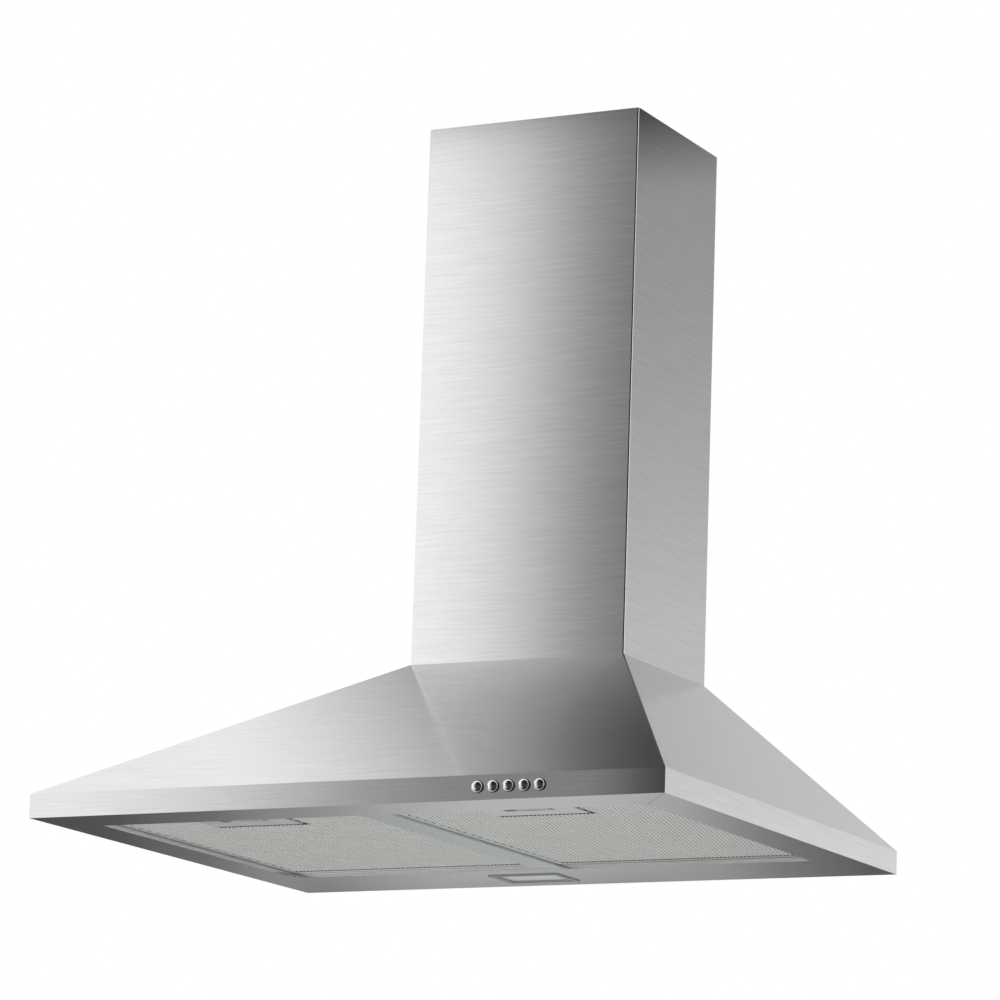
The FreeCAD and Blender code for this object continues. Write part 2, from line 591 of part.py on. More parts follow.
def lamp_panel():
    """The rear strip of the underside: it carries the lamp and the slots for the filters' rear lugs."""
    half = f"({OPEN_HALF} - panel_play)"
    strip = block("lamp_strip", f"-{half}", half, "-rear_strip", "-skin", "0", "skin")
    lip = block("lamp_lip", f"-{half}", half, "-rear_strip", "skin - rear_strip", "0", "lip_height")
    rear = block("lamp_rear_lip", f"-{half}", half, "-2 * skin", "-skin", "0", "rear_lip")
    cut = block("lamp_cut", f"{LAMP_X[0]} + bezel_seat", f"{LAMP_X[1]} - bezel_seat",
                f"{LAMP_Y[0]} + bezel_seat", f"{LAMP_Y[1]} - bezel_seat", "-skin", "2 * skin")
    slots = [block(f"lug_slot_{side}_{i}", f"{x} - tab_width / 2 - slot_play",
                   f"{x} + tab_width / 2 + slot_play",
                   "-rear_strip - skin", "2 * skin - rear_strip", "filter_recess + lug_lift - lug_play",
                   "lip_height - slot_play")
             for side in FILTER_MIDDLE for i, x in enumerate(lug_middles(side), start=1)]
    node(less("lamp_sheet", joined("lamp_folds", strip, lip, rear), cut, *slots), "lamp_panel")


def centre_bar():
    """A channel from the front lip to the lamp panel's lip, which the two filters lie beside."""
    half = "bar_width / 2"
    y0, y1 = OPEN_FRONT, "-rear_strip"
    web = block("bar_web", f"-{half}", half, y0, y1, "bar_recess", "bar_recess + skin")
    flanges = [block(f"bar_flange_{side}", x0, x1, y0, y1, "bar_recess", "lip_height")
               for side, x0, x1 in (("left", f"-{half}", f"-{half} + skin"),
                                    ("right", f"{half} - skin", half))]
    ends = [block(f"bar_end_{end}", f"-{half}", half, a, b, "bar_recess", "lip_height")
            for end, a, b in (("front", y0, f"{y0} + skin"), ("rear", f"{y1} - skin", y1))]
    node(joined("bar", web, *flanges, *ends), "centre_bar")


# ---- chimneys ----

def folded_u(name, half, front, back, z0, z1):
    """A U of sheet, open to the wall, with flanges turned in along it and rounded front corners."""
    outer = block(f"{name}_block", f"-({half})", half, front, back, z0, z1)
    inner = block(f"{name}_hollow", f"skin - ({half})", f"{half} - skin", f"{front} + skin", f"{back} - skin",
                  f"{z0} - skin", f"{z1} + skin")
    mouth = block(f"{name}_mouth", f"return_width - ({half})", f"{half} - return_width", f"{back} - 2 * skin",
                  f"{back} + skin", f"{z0} - skin", f"{z1} + skin")
    doc.recompute()
    rounded = doc.addObject("Part::Fillet", f"{name}_bends")
    rounded.Base = outer
    radius = size("bend_radius")
    rounded.Edges = [(i, radius, radius) for i, edge in enumerate(outer.Shape.Edges, start=1)
                     if edge.tangentAt(0).isParallel(Vector(0, 0, 1), TINY)
                     and abs(edge.CenterOfMass.y - outer.Shape.BoundBox.YMin) < TINY]
    return less(f"{name}_sheet", rounded, inner, mouth)


def lower_chimney():
    u = folded_u("lower", "chimney_width / 2", "-chimney_depth", "0", "canopy_height",
                 "canopy_height + chimney_height")
    node(u, "lower_chimney")


UP_BACK = "(-skin - slide_gap)"
UPPER_FOOT = "(canopy_height + upstand)"
UPPER_TOP = "(canopy_height + upstand + upper_length)"


def upper_chimney():
    """The inner chimney, with recirculation slots in both sides and room at the back for its bracket."""
    u = folded_u("upper", UP_HALF, UP_FRONT, UP_BACK, UPPER_FOOT, UPPER_TOP)
    vents = []
    for i in range(int(size("vent_count"))):
        z = f"({UPPER_TOP} - vent_drop - {i} * vent_pitch)"
        for side, sign in (("left", "-"), ("right", "")):
            vents.append(block(f"vent_{side}_{i}", f"{sign}{UP_HALF} - 3 * skin",
                               f"{sign}{UP_HALF} + 3 * skin",
                               "-chimney_depth / 2 - vent_length / 2", "-chimney_depth / 2 + vent_length / 2",
                               f"{z} - vent_height", z))
    room = block("bracket_room", f"-{UP_HALF} + skin", f"{UP_HALF} - skin", f"{UP_BACK} - 2 * skin", "skin",
                 f"{BRACKET_FOOT} - bracket_play", f"{BRACKET_FOOT} + bracket_height + bracket_play")
    holes = [countersink(f"ear_hole_{side}", side, "countersink_play") for side in ("left", "right")]
    node(less("upper", u, room, *vents, *holes), "upper_chimney")


BRACKET_FOOT = f"({UPPER_TOP} - bracket_drop - bracket_height)"
EAR_LEVEL = f"({BRACKET_FOOT} + bracket_height / 2)"


def upper_bracket():
    """The strap that holds the inner chimney to the wall, with a slot for each wall screw."""
    half = f"({UP_HALF} - skin - panel_play)"
    between = "(chimney_width / 2 - return_width - slide_gap)"
    z0, z1 = BRACKET_FOOT, f"{BRACKET_FOOT} + bracket_height"
    strap = block("strap", f"-{between}", between, "-bracket_sheet", "0", z0, z1)
    wings = [block(f"wing_{side}", a, b, f"{UP_BACK} - bracket_sheet", UP_BACK, z0, z1) for side, a, b in
             (("left", f"-{half}", f"2 * bracket_sheet - {between}"),
              ("right", f"{between} - 2 * bracket_sheet", half))]
    ears = [block(f"ear_{side}", a, b, "-bracket_ear", UP_BACK, z0, z1) for side, a, b in
            (("left", f"-{half}", f"-{half} + bracket_sheet"), ("right", f"{half} - bracket_sheet", half))]
    slots = [slot_tool(f"strap_slot_{side}", "wall_slot_length / 2", "wall_slot_radius", "3 * bracket_sheet",
                       f"({sign} bracket_spacing / 2)", "-2 * bracket_sheet", EAR_LEVEL)
             for side, sign in (("left", "-"), ("right", ""))]
    holes = [rod(f"ear_thread_{side}", "x", THREAD, "4 * bracket_sheet", start, "-bracket_ear / 2", EAR_LEVEL)
             for side, start in (("left", f"-{half} - bracket_sheet"),
                                 ("right", f"{half} - 3 * bracket_sheet"))]
    node(less("bracket", joined("bracket_folds", strap, *wings, *ears), *slots, *holes), "upper_bracket")
    shanks = [rod(f"ear_shank_{side}", "x", "screw_radius", "ear_screw_grip", x, "-bracket_ear / 2",
                  EAR_LEVEL)
              for side, x in (("left", f"skin - {UP_HALF}"), ("right", f"{UP_HALF} - skin - ear_screw_grip"))]
    pair = [joined(f"ear_screw_{side}", countersink(f"ear_head_{side}", side, "0"), shank)
            for side, shank in zip(("left", "right"), shanks)]
    node(compound("bracket_screw_pair", pair), "bracket_screws")


def countersink(name, side, play):
    """The cone of a flush screw head in one side of the inner chimney, larger by play for its hole."""
    wide, slim = f"screw_head + {play}", f"screw_radius + {play}"
    if side == "left":
        return cone(name, wide, slim, "skin", f"-{UP_HALF}", "-bracket_ear / 2", EAR_LEVEL)
    return cone(name, slim, wide, "skin", f"{UP_HALF} - skin", "-bracket_ear / 2", EAR_LEVEL)


def compound(name, pieces):
    made = doc.addObject("Part::Compound", name)
    made.Links = pieces
    return made


# ---- grease filters ----

FILTER_HALF = "((canopy_width / 2 - side_strip - bar_width / 2) / 2)"
FILTER_MIDDLE = {"left": f"(-bar_width / 2 - {FILTER_HALF})", "right": f"(bar_width / 2 + {FILTER_HALF})"}
CASSETTE_HALF = f"({FILTER_HALF} - filter_gap)"
CASSETTE_FRONT = f"({OPEN_FRONT} + filter_gap)"
CASSETTE_BACK = "(-rear_strip - filter_gap)"
FILTER_TOP = "(filter_recess + filter_thickness)"


def lug_middles(side):
    middle = FILTER_MIDDLE[side]
    return [f"({middle} - {CASSETTE_HALF} + tab_inset)", f"({middle} + {CASSETTE_HALF} - tab_inset)"]


def filter_cassette(side):
    middle = FILTER_MIDDLE[side]
    x0, x1 = f"{middle} - {CASSETTE_HALF}", f"{middle} + {CASSETTE_HALF}"
    y0, y1 = CASSETTE_FRONT, CASSETTE_BACK
    edge = "filter_flange"
    plate_x = (f"{middle} - handle_width / 2", f"{middle} + handle_width / 2")
    plate_y = (f"{y0} + handle_inset", f"{y0} + handle_inset + handle_depth")
    finger_y = f"({y0} + handle_inset + finger_inset)"
    frame = part_design(f"filter_frame_{side}")
    raised(frame, "Pad", f"border_{side}", sketch(
        frame, f"border_sketch_{side}", "XY_Plane", "filter_recess",
        box_corners(x0, x1, y0, y1),
        box_corners(f"{x0} + {edge}", f"{x1} - {edge}", f"{y0} + {edge}", f"{y1} - {edge}"),
    ), "filter_thickness")
    raised(frame, "Pocket", f"channel_{side}", sketch(
        frame, f"channel_sketch_{side}", "XY_Plane", "filter_recess + filter_skin",
        box_corners(f"{x0} + filter_skin", f"{x1} - filter_skin", f"{y0} + filter_skin",
                    f"{y1} - filter_skin"),
    ), "filter_thickness - 2 * filter_skin")
    raised(frame, "Pocket", f"bolt_gate_{side}", sketch(
        frame, f"bolt_gate_sketch_{side}", "XZ_Plane", f"-({y0}) - 2 * filter_skin",
        box_corners(f"{middle} - latch_width / 2 - gate_play", f"{middle} + latch_width / 2 + gate_play",
                    PLATE_TOP, f"{PLATE_TOP} + gate_height"),
    ), "3 * filter_skin")
    for i, x in enumerate(lug_middles(side), start=1):
        raised(frame, "Pad", f"lug_{side}_{i}", sketch(
            frame, f"lug_sketch_{side}_{i}", "XY_Plane", "filter_recess + lug_lift",
            box_corners(f"{x} - tab_width / 2", f"{x} + tab_width / 2", f"{y1} - filter_skin",
                        f"{y1} + tab_reach"),
        ), "lug_thickness")
    screen_layer(f"screen_{side}", middle, "filter_recess + filter_skin", plate_x, plate_y)
    gap = "filter_skin"
    step = f"(({FILTER_TOP} - filter_skin - layer_skin - {PLATE_TOP}) / {LAYERS - 1})"
    layers = [block(f"layer_{side}_{i}", f"{x0} + {gap}", f"{x1} - {gap}", f"{y0} + {gap}", f"{y1} - {gap}",
                    f"{PLATE_TOP} + {i} * {step}", f"{PLATE_TOP} + {i} * {step} + layer_skin")
              for i in range(LAYERS)]
    wells = [block(f"layer_well_{side}_{i}", f"{plate_x[0]} - slot_play", f"{plate_x[1]} + slot_play",
                   f"{y0} - slot_play", f"{plate_y[1]} + slot_play", "0", "lip_height") for i in range(LAYERS)]
    pack = [less(f"mesh_layer_{side}_{i}", layer, well) for i, (layer, well) in enumerate(zip(layers, wells))]
    node(compound(f"pack_layers_{side}", pack), f"filter_pack_{side}")
    handle(side, middle, plate_x, plate_y, finger_y, y0)


def screen_layer(name, middle_text, z_text, plate_x, plate_y):
    """The lower expanded-metal screen, as one holed face: staggered diamond meshes up to the latch plate."""
    half = (size("canopy_width") / 2 - size("side_strip") - size("bar_width") / 2) / 2
    sign = -1 if name.endswith("left") else 1
    middle = sign * (size("bar_width") / 2 + half)
    reach = half - size("filter_gap") - size("filter_skin")
    front = size("front_strip") - size("canopy_depth") + size("filter_gap") + size("filter_skin")
    back = -size("rear_strip") - size("filter_gap") - size("filter_skin")
    notch_half = size("handle_width") / 2
    notch_back = front - size("filter_skin") + size("handle_inset") + size("handle_depth")
    corners = [(middle - reach, front), (middle - notch_half, front), (middle - notch_half, notch_back),
               (middle + notch_half, notch_back), (middle + notch_half, front), (middle + reach, front),
               (middle + reach, back), (middle - reach, back)]
    plate = Part.Face(Part.makePolygon([Vector(x, y, 0) for x, y in [*corners, corners[0]]]))
    across, along, border, share = (size(f"mesh_{word}") for word in ("across", "along", "margin", "half"))
    columns = int((2 * reach - 2 * border) / across)
    rows = int((back - front - 2 * border) / along * 2)
    meshes = []
    for row in range(rows + 1):
        y = front + border + row * along / 2
        for column in range(columns + 1 - row % 2):
            x = middle + (column - (columns - row % 2) / 2) * across
            if abs(x - middle) < notch_half + across / 2 and y < notch_back + along / 2:
                continue
            meshes.append(Part.makePolygon([Vector(x + dx * share * across, y + dy * share * along, 0)
                                            for dx, dy in ((-1, 0), (0, -1), (1, 0), (0, 1), (-1, 0))]))
    holed = Part.Face([plate.OuterWire, *meshes])
    holed.validate()
    made = doc.addObject("Part::Feature", name)
    made.Shape = holed.extrude(Vector(0, 0, size("screen_skin")))
    bind(made, "Placement.Base.z", z_text)
    node(made, f"filter_{name}")


def handle(side, middle, plate_x, plate_y, finger_y, front):
    """The latch plate with its finger slot, the sliding latch behind it and the latch's spring."""
    bed = block(f"plate_bed_{side}", *plate_x, f"{front} + filter_flange", plate_y[1], "filter_recess",
                PLATE_TOP)
    rear_wall = block(f"plate_wall_{side}", *plate_x, f"{plate_y[1]} - plate_wall", plate_y[1],
                      "filter_recess", f"{FILTER_TOP} - filter_skin")
    slot = block(f"finger_slot_{side}", f"{middle} - finger_width / 2", f"{middle} + finger_width / 2",
                 finger_y, f"{finger_y} + finger_depth", "0", "lip_height")
    doc.recompute()
    node(less(f"latch_plate_made_{side}", joined(f"plate_folds_{side}", bed, rear_wall), slot),
         f"latch_plate_{side}")
    low, latch_top = "filter_recess + tongue_recess", f"{LATCH_FLOOR} + latch_sheet"
    x0, x1 = f"{middle} - latch_width / 2", f"{middle} + latch_width / 2"
    heel = f"({finger_y} + finger_depth + latch_heel)"
    tongue_rear = f"{finger_y} + tongue_play + tongue_thickness"
    slider = block(f"slider_{side}", x0, x1, f"{front} - filter_gap + latch_play", heel, LATCH_FLOOR,
                   latch_top)
    tongue = block(f"tongue_{side}", x0, x1, f"{finger_y} + tongue_play", tongue_rear, low, latch_top)
    window = block(f"window_{side}", f"{x0} + latch_side", f"{x1} - latch_side", tongue_rear,
                   f"{finger_y} + finger_depth - tongue_play", low, "lip_height")
    node(less(f"latch_made_{side}", joined(f"latch_folds_{side}", slider, tongue), window),
         f"filter_latch_{side}")
    spring_y = f"{heel} + spring_play"
    node(tube(f"spring_made_{side}", "y", "latch_spring_radius", "latch_spring_radius - spring_wire",
              f"{plate_y[1]} - plate_wall - spring_play - ({spring_y})", middle, spring_y,
              f"{LATCH_FLOOR} + latch_spring_radius + spring_play"), f"latch_spring_{side}")


# ---- push buttons and switch ----

SWITCH_FRONT = "(switch_front - canopy_depth)"
CROWN_STEPS = 4


def push_buttons():
    """Five turned caps with stems, each in its own bore of the switch with a return spring behind it."""
    angles = [step * math.pi / 2 / CROWN_STEPS for step in range(CROWN_STEPS + 1)]
    crown = [(f"button_radius - cap_crown * {1 - math.sin(a):.6f}",
              f"cap_rise * {1 - math.cos(a):.6f}") for a in angles]
    for number, x in enumerate(BUTTON_X, start=1):
        cap = part_design(f"button_{number}")
        profile = sketch(cap, f"cap_profile_{number}", "XY_Plane", "0", [
            ("0", "0"), *crown, ("button_radius", "button_proud + cap_skirt"),
            ("stem_radius", "button_proud + cap_skirt"), ("stem_radius", "button_proud + stem_end"),
            ("0", "button_proud + stem_end"),
        ])
        turned(cap, f"cap_{number}", profile, "V_Axis")
        place(cap, x, "-canopy_depth - button_proud", BUTTON_Z)
        spring = tube(f"spring_{number}", "y", "stem_radius - stem_play",
                      "stem_radius - stem_play - spring_wire",
                      "switch_depth + switch_front - switch_floor - stem_end - 2 * spring_play", x,
                      "-canopy_depth + stem_end + spring_play", BUTTON_Z)
        node(spring, f"button_spring_{number}")


def switch_unit():
    """The five-pole switch on its bracket, which is screwed to the front strip."""
    half, foot_half = "switch_width / 2", "(switch_width / 2 + switch_ear)"
    rear = f"{SWITCH_FRONT} + switch_depth"
    body = block("switch_block", f"button_middle - {half}", f"button_middle + {half}", SWITCH_FRONT, rear,
                 "2 * skin", "rim_height - switch_drop")
    bores = [rod(f"stem_bore_{i}", "y", "stem_radius + stem_play", "switch_depth - switch_floor", x,
                 SWITCH_FRONT, BUTTON_Z) for i, x in enumerate(BUTTON_X, start=1)]
    node(less("switch", body, *bores), "switch_body")
    foot = block("switch_foot", f"button_middle - {foot_half}", f"button_middle + {foot_half}", SWITCH_FRONT,
                 f"{rear} + skin", "skin", "2 * skin")
    wall = block("switch_wall", f"button_middle - {foot_half}", f"button_middle + {foot_half}", rear,
                 f"{rear} + skin", "skin", "rim_height - 2 * switch_drop")
    exit_hole = rod("switch_exit", "y", "loom_radius + lead_play", "3 * skin", "button_middle",
                    f"{rear} - skin", "rim_height / 2")
    threads = [rod(f"foot_hole_{i}", "z", THREAD, "6 * skin", x, f"{SWITCH_FRONT} + foot_screw_back", "-skin")
               for i, x in enumerate(SWITCH_SCREW_X)]
    node(less("switch_bracket_made", joined("switch_folds", foot, wall), exit_hole, *threads),
         "switch_bracket")


SWITCH_SCREW_X = [f"button_middle {sign} (switch_width + switch_ear) / 2" for sign in ("-", "+")]

# ---- lamp ----


def inset_corners(inset):
    """The corners of the bezel's outline moved inwards by inset."""
    return box_corners(f"{LAMP_X[0]} + ({inset})", f"{LAMP_X[1]} - ({inset})", f"{LAMP_Y[0]} + ({inset})",
                       f"{LAMP_Y[1]} - ({inset})")


def inset_block(name, inset, z0, z1):
    return block(name, f"{LAMP_X[0]} + ({inset})", f"{LAMP_X[1]} - ({inset})", f"{LAMP_Y[0]} + ({inset})",
                 f"{LAMP_Y[1]} - ({inset})", z0, z1)


def lamp():
    """A bezel that hangs in the lamp panel, its lens, a cup above them and the LED board in the cup."""
    bezel = part_design("lamp_bezel")
    neck = "bezel_seat + panel_play"
    raised(bezel, "Pad", "bezel_rim", sketch(bezel, "bezel_rim_sketch", "XY_Plane", "-bezel_flange",
                                             inset_corners("0"), inset_corners("bezel_border")),
           "bezel_flange")
    raised(bezel, "Pad", "bezel_neck", sketch(bezel, "bezel_neck_sketch", "XY_Plane", "0",
                                              inset_corners(neck),
                                              inset_corners("bezel_border")), "lens_recess + lens_thickness")
    raised(bezel, "Pocket", "lens_seat", sketch(bezel, "lens_seat_sketch", "XY_Plane", "lens_recess",
                                                inset_corners("bezel_border - lens_ledge")), "lens_thickness")
    node(inset_block("lens", "bezel_border - lens_ledge + panel_play", "lens_recess",
                     "lens_recess + lens_thickness"),
         "lamp_lens")
    foot = "lens_recess + lens_thickness"
    shell = inset_block("lamp_box_block", neck, foot, "lamp_box_height")
    room = inset_block("lamp_box_room", f"{neck} + lamp_wall", foot, "lamp_box_height - lamp_wall")
    lead = rod("lamp_exit", "x", "lead_radius + lead_play", f"{neck} + 2 * lamp_wall", LAMP_X[0], LAMP_LEAD_Y,
               LAMP_LEAD_Z)
    node(less("lamp_cup", shell, room, lead), "lamp_box")
    board_top, board_foot = "lamp_box_height - lamp_wall", "lamp_box_height - lamp_wall - board_thickness"
    board = inset_block("led_plate", "board_inset", board_foot, board_top)
    chips = [block(f"led_{column}_{row}", f"lamp_middle + {column} * led_pitch - led_size / 2",
                   f"lamp_middle + {column} * led_pitch + led_size / 2",
                   f"-lamp_back + {row} * led_pitch - led_size / 2",
                   f"-lamp_back + {row} * led_pitch + led_size / 2", f"{board_foot} - led_height", board_foot)
             for column in (-1, 0, 1) for row in (-0.5, 0.5)]
    node(joined("led", board, *chips), "led_board")


# ---- blower ----

SCROLL_Y = ("(-blower_back - blower_radius)", "(-blower_back + blower_radius)")


def scroll_half(side, x_start, wall_start):
    """Half of the fan's scroll: a round-bottomed tub with a straight outlet at its top and a round inlet."""
    def tub(name, radius, x, width, top):
        return joined(name, rod(f"{name}_round", "x", radius, width, x, "-blower_back", "shaft_height"),
                      block(f"{name}_straight", x, f"{x} + {width}", f"-blower_back - ({radius})",
                            f"-blower_back + ({radius})", "shaft_height", top))

    half = "(blower_width / 2)"
    sign = "-" if side == "left" else ""
    outer = tub(f"scroll_out_{side}", "blower_radius", x_start, half, "scroll_top")
    hollow = tub(f"scroll_in_{side}", "blower_radius - blower_wall", wall_start, f"{half} - blower_wall",
                 "scroll_top + blower_wall")
    inlet = rod(f"inlet_{side}", "x", "inlet_radius", "blower_width", "-blower_width" if sign else "0",
                "-blower_back", "shaft_height")
    arms = [] if sign else [arm_hole(i) for i in range(len(ARM_ANGLES))]
    cheeks = [rod(f"scroll_thread_{side}_{i}", "x", THREAD, "4 * blower_wall",
                  f"{sign} blower_width / 2 - 2 * blower_wall", y, z) for i,
              (y, z) in enumerate(CHEEK_SCREWS)]
    node(less(f"scroll_{side}_made", outer, hollow, inlet, *arms, *cheeks), f"fan_scroll_{side}")


CHEEK_SCREWS = [("(cheek_screw_inset - cheek_reach)",
                 f"(shaft_height + {up} * cheek_height / 4)") for up in (-1, 1)]


def blower_bracket():
    """A strap on the back panel with a cheek along each side of the scroll, and its screws."""
    z0, z1 = "(shaft_height - cheek_height / 2)", "(shaft_height + cheek_height / 2)"
    half = "blower_width / 2"
    strap = block("cheek_strap", f"-{half} - bracket_gauge", f"{half} + bracket_gauge",
                  "-skin - bracket_gauge", "-skin", z0, z1)
    cheeks = [block(f"cheek_{side}", x0, x1, "-cheek_reach", "-skin", z0, z1) for side, x0, x1 in
              (("left", f"-{half} - bracket_gauge", f"-{half}"), ("right", half, f"{half} + bracket_gauge"))]
    holes, screws = [], []
    for i, (y, z) in enumerate(CHEEK_SCREWS):
        for side, sign in (("left", "-"), ("right", "")):
            holes.append(rod(f"cheek_hole_{side}_{i}", "x", THREAD, "4 * bracket_gauge",
                             f"{sign}{half} - 2 * bracket_gauge", y, z))
            screws.append(screw(f"cheek_screw_{side}_{i}", "x", 1 if sign else -1,
                                f"{sign}({half} + bracket_gauge)", y, z, "screw_grip"))
    for i, (x, z) in enumerate(STRAP_SCREWS):
        holes.append(rod(f"strap_hole_{i}", "y", THREAD, "4 * bracket_gauge", x, "-skin - 2 * bracket_gauge",
                         z))
        screws.append(screw(f"strap_screw_{i}", "y", 1, x, "(-skin - bracket_gauge)", z,
                            "skin + bracket_gauge - 2 * screw_play"))
    node(less("blower_folds_cut", joined("blower_folds", strap, *cheeks), *holes), "blower_bracket")
    node(compound("blower_screw_set", screws), "blower_screws")


ARM_ANGLES = (90.0, 210.0, 330.0)
ARM_RADIUS = "(inlet_radius + arm_reach)"


def arm_spot(i):
    """Where arm i of the motor spider is screwed to the scroll, as y and z."""
    angle = math.radians(ARM_ANGLES[i])
    return (f"(-blower_back + {ARM_RADIUS} * {math.cos(angle):.6f})",
            f"(shaft_height + {ARM_RADIUS} * {math.sin(angle):.6f})")


def arm_hole(i):
    y, z = arm_spot(i)
    return rod(f"arm_hole_{i}", "x", THREAD, "3 * blower_wall", "blower_width / 2 - 2 * blower_wall", y, z)


def fan_wheel():
    """Double-inlet wheel: a middle disc on a hub, a ring at each side and forward-leaning blades."""
    radius, width, thick = size("impeller_radius"), size("impeller_width"), size("wheel_disc")
    inner, bore, hub_length = radius - size("blade_chord"), size("shaft_radius"), size("hub_length")
    along = Vector(1, 0, 0)

    def disc(outside, hole, x, length):
        return Part.makeCylinder(outside, length, Vector(x, 0, 0), along).cut(
            Part.makeCylinder(hole, length, Vector(x, 0, 0), along))

    solids = [disc(radius, bore, -thick / 2, thick),
              disc(size("hub_radius"), bore, -hub_length / 2, hub_length),
              disc(radius, inner, -width / 2, thick), disc(radius, inner, width / 2 - thick, thick)]
    count = int(size("blade_count"))
    for i in range(count):
        solids.append(blade(inner, radius, width - thick).rotate(Vector(), along, 360.0 * i / count))
    made = doc.addObject("Part::Feature", "wheel")
    made.Shape = solids[0].multiFuse(solids[1:]).removeSplitter()
    place(made, "0", "-blower_back", "shaft_height")
    node(made, "fan_wheel")


def blade(inner, outer, length):
    """One flat blade between the inner and the outer edge of the rings, which hold its ends."""
    thick, reach = size("blade_thickness"), outer - inner - 2 * size("blade_margin")
    made = Part.makeBox(length, thick, reach, Vector(-length / 2, -thick / 2, -reach / 2))
    made.rotate(Vector(), Vector(1, 0, 0), size("blade_lean"))
    made.translate(Vector(0, 0, (inner + outer) / 2))
    return made


def motor():
    """A motor in a can on a three-armed spider: stator ring, rotor on its shaft, and two bushes."""
    x0, x1 = "motor_start", "(motor_start + motor_length)"
    y, z = "-blower_back", "shaft_height"
    can = less("can", rod("can_out", "x", "motor_radius", "motor_length", x0, y, z),
               rod("can_room", "x", "motor_radius - can_wall", "motor_length - 2 * can_wall",
                   f"{x0} + can_wall", y, z),
               rod("can_bore", "x", "shaft_radius + bush_wall", "motor_length", x0, y, z),
               rod("can_exit", "x", "lead_radius + lead_play", "3 * can_wall", f"{x1} - 2 * can_wall",
                   "motor_lead_offset - blower_back", z))
    node(can, "motor_can")
    core_start, core_length = f"{x0} + motor_length / 4", "motor_length / 2"
    node(tube("stator_made", "x", "motor_radius - can_wall - 2 * running_gap", "rotor_radius + air_gap",
              core_length, core_start, y, z), "motor_stator")
    node(tube("rotor_made", "x", "rotor_radius", "shaft_radius", core_length, core_start, y, z),
         "motor_rotor")
    bushes = [tube(f"bush_{end}", "x", "shaft_radius + bush_wall", "shaft_radius + running_gap",
                   "bush_length", x, y, z)
              for end, x in (("near", x0), ("far", f"{x1} - bush_length"))]
    node(compound("bush_pair", bushes), "motor_bushes")
    nose = "(hub_length / 2 + shaft_nose)"
    node(rod("shaft_made", "x", "shaft_radius", f"{nose} + {x1} + shaft_tail", f"-{nose}", y, z),
         "motor_shaft")
    side, ring = "blower_width / 2", "(motor_radius + spider_ring / 2)"
    hub = tube("spider_hub", "x", "motor_radius + spider_ring", "motor_radius", "spider_depth", side, y, z)
    arms, holes, screws = [], [], []
    for i, degrees in enumerate(ARM_ANGLES):
        arm = doc.addObject("Part::Box", f"spider_arm_{i}")
        arm.Placement = Placement(Vector(), Rotation(Vector(1, 0, 0), degrees))
        bind(arm, "Length", "spider_gauge")
        bind(arm, "Width", f"{ARM_RADIUS} + arm_end - {ring}")
        bind(arm, "Height", "arm_width")
        c, s = math.cos(math.radians(degrees)), math.sin(math.radians(degrees))
        place(arm, side, f"-blower_back + {ring} * {c:.6f} + arm_width / 2 * {s:.6f}",
              f"shaft_height + {ring} * {s:.6f} - arm_width / 2 * {c:.6f}")
        arms.append(arm)
        spot = arm_spot(i)
        holes.append(rod(f"spider_hole_{i}", "x", THREAD, "2 * spider_gauge", f"{side} - spider_gauge / 2",
                         *spot))
        screws.append(screw(f"spider_screw_{i}", "x", -1, f"({side} + spider_gauge)", *spot, "spider_grip"))
    node(less("spider", joined("spider_folds", hub, *arms), *holes), "motor_spider")
    node(compound("spider_screws", screws), "motor_screws")


# ---- outlet and butterfly damper ----

SPIGOT_FOOT = "(scroll_top + flange_thickness)"
PIN_LEVEL = f"({SPIGOT_FOOT} + flap_level)"
KNUCKLE = "(flap_pin_radius + knuckle_wall)"
KNUCKLE_MIDDLES = [f"({step} * knuckle_pitch)" for step in (-1.5, -0.5, 0.5, 1.5)]


def outlet():
    """The round duct spigot on a flange that closes the top of the scroll, with the ledge the flaps rest on."""
    bore, y = "outlet_radius - outlet_wall", "-blower_back"
    flange = block("spigot_flange", "-blower_width / 2", "blower_width / 2", *SCROLL_Y, "scroll_top",
                   SPIGOT_FOOT)
    wall = rod("spigot_wall", "z", "outlet_radius", "outlet_height", "0", y, SPIGOT_FOOT)
    clear = rod("spigot_bore", "z", bore, "2 * outlet_height", "0", y, "scroll_top - flange_thickness")
    ledge = tube("spigot_ledge", "z", "outlet_radius - outlet_wall / 2", f"{bore} - ledge_width",
                 "ledge_height", "0", y, f"{PIN_LEVEL} - flap_thickness / 2 - ledge_gap - ledge_height")
    notch = rod("ledge_notch", "x", f"{KNUCKLE} + knuckle_play", f"2 * ({bore})", f"-({bore})", y, PIN_LEVEL)
    pin_length, pin_start = "2 * (outlet_radius - pin_inset)", "pin_inset - outlet_radius"
    pin_holes = rod("pin_holes", "x", "flap_pin_radius", pin_length, pin_start, y, PIN_LEVEL)
    ring = less("spigot_open", joined("spigot_solid", flange, wall), clear)
    node(less("spigot", joined("spigot_ring", ring, ledge), notch, pin_holes), "duct_spigot")
    node(rod("pin_made", "x", "flap_pin_radius", pin_length, pin_start, y, PIN_LEVEL), "damper_pin")


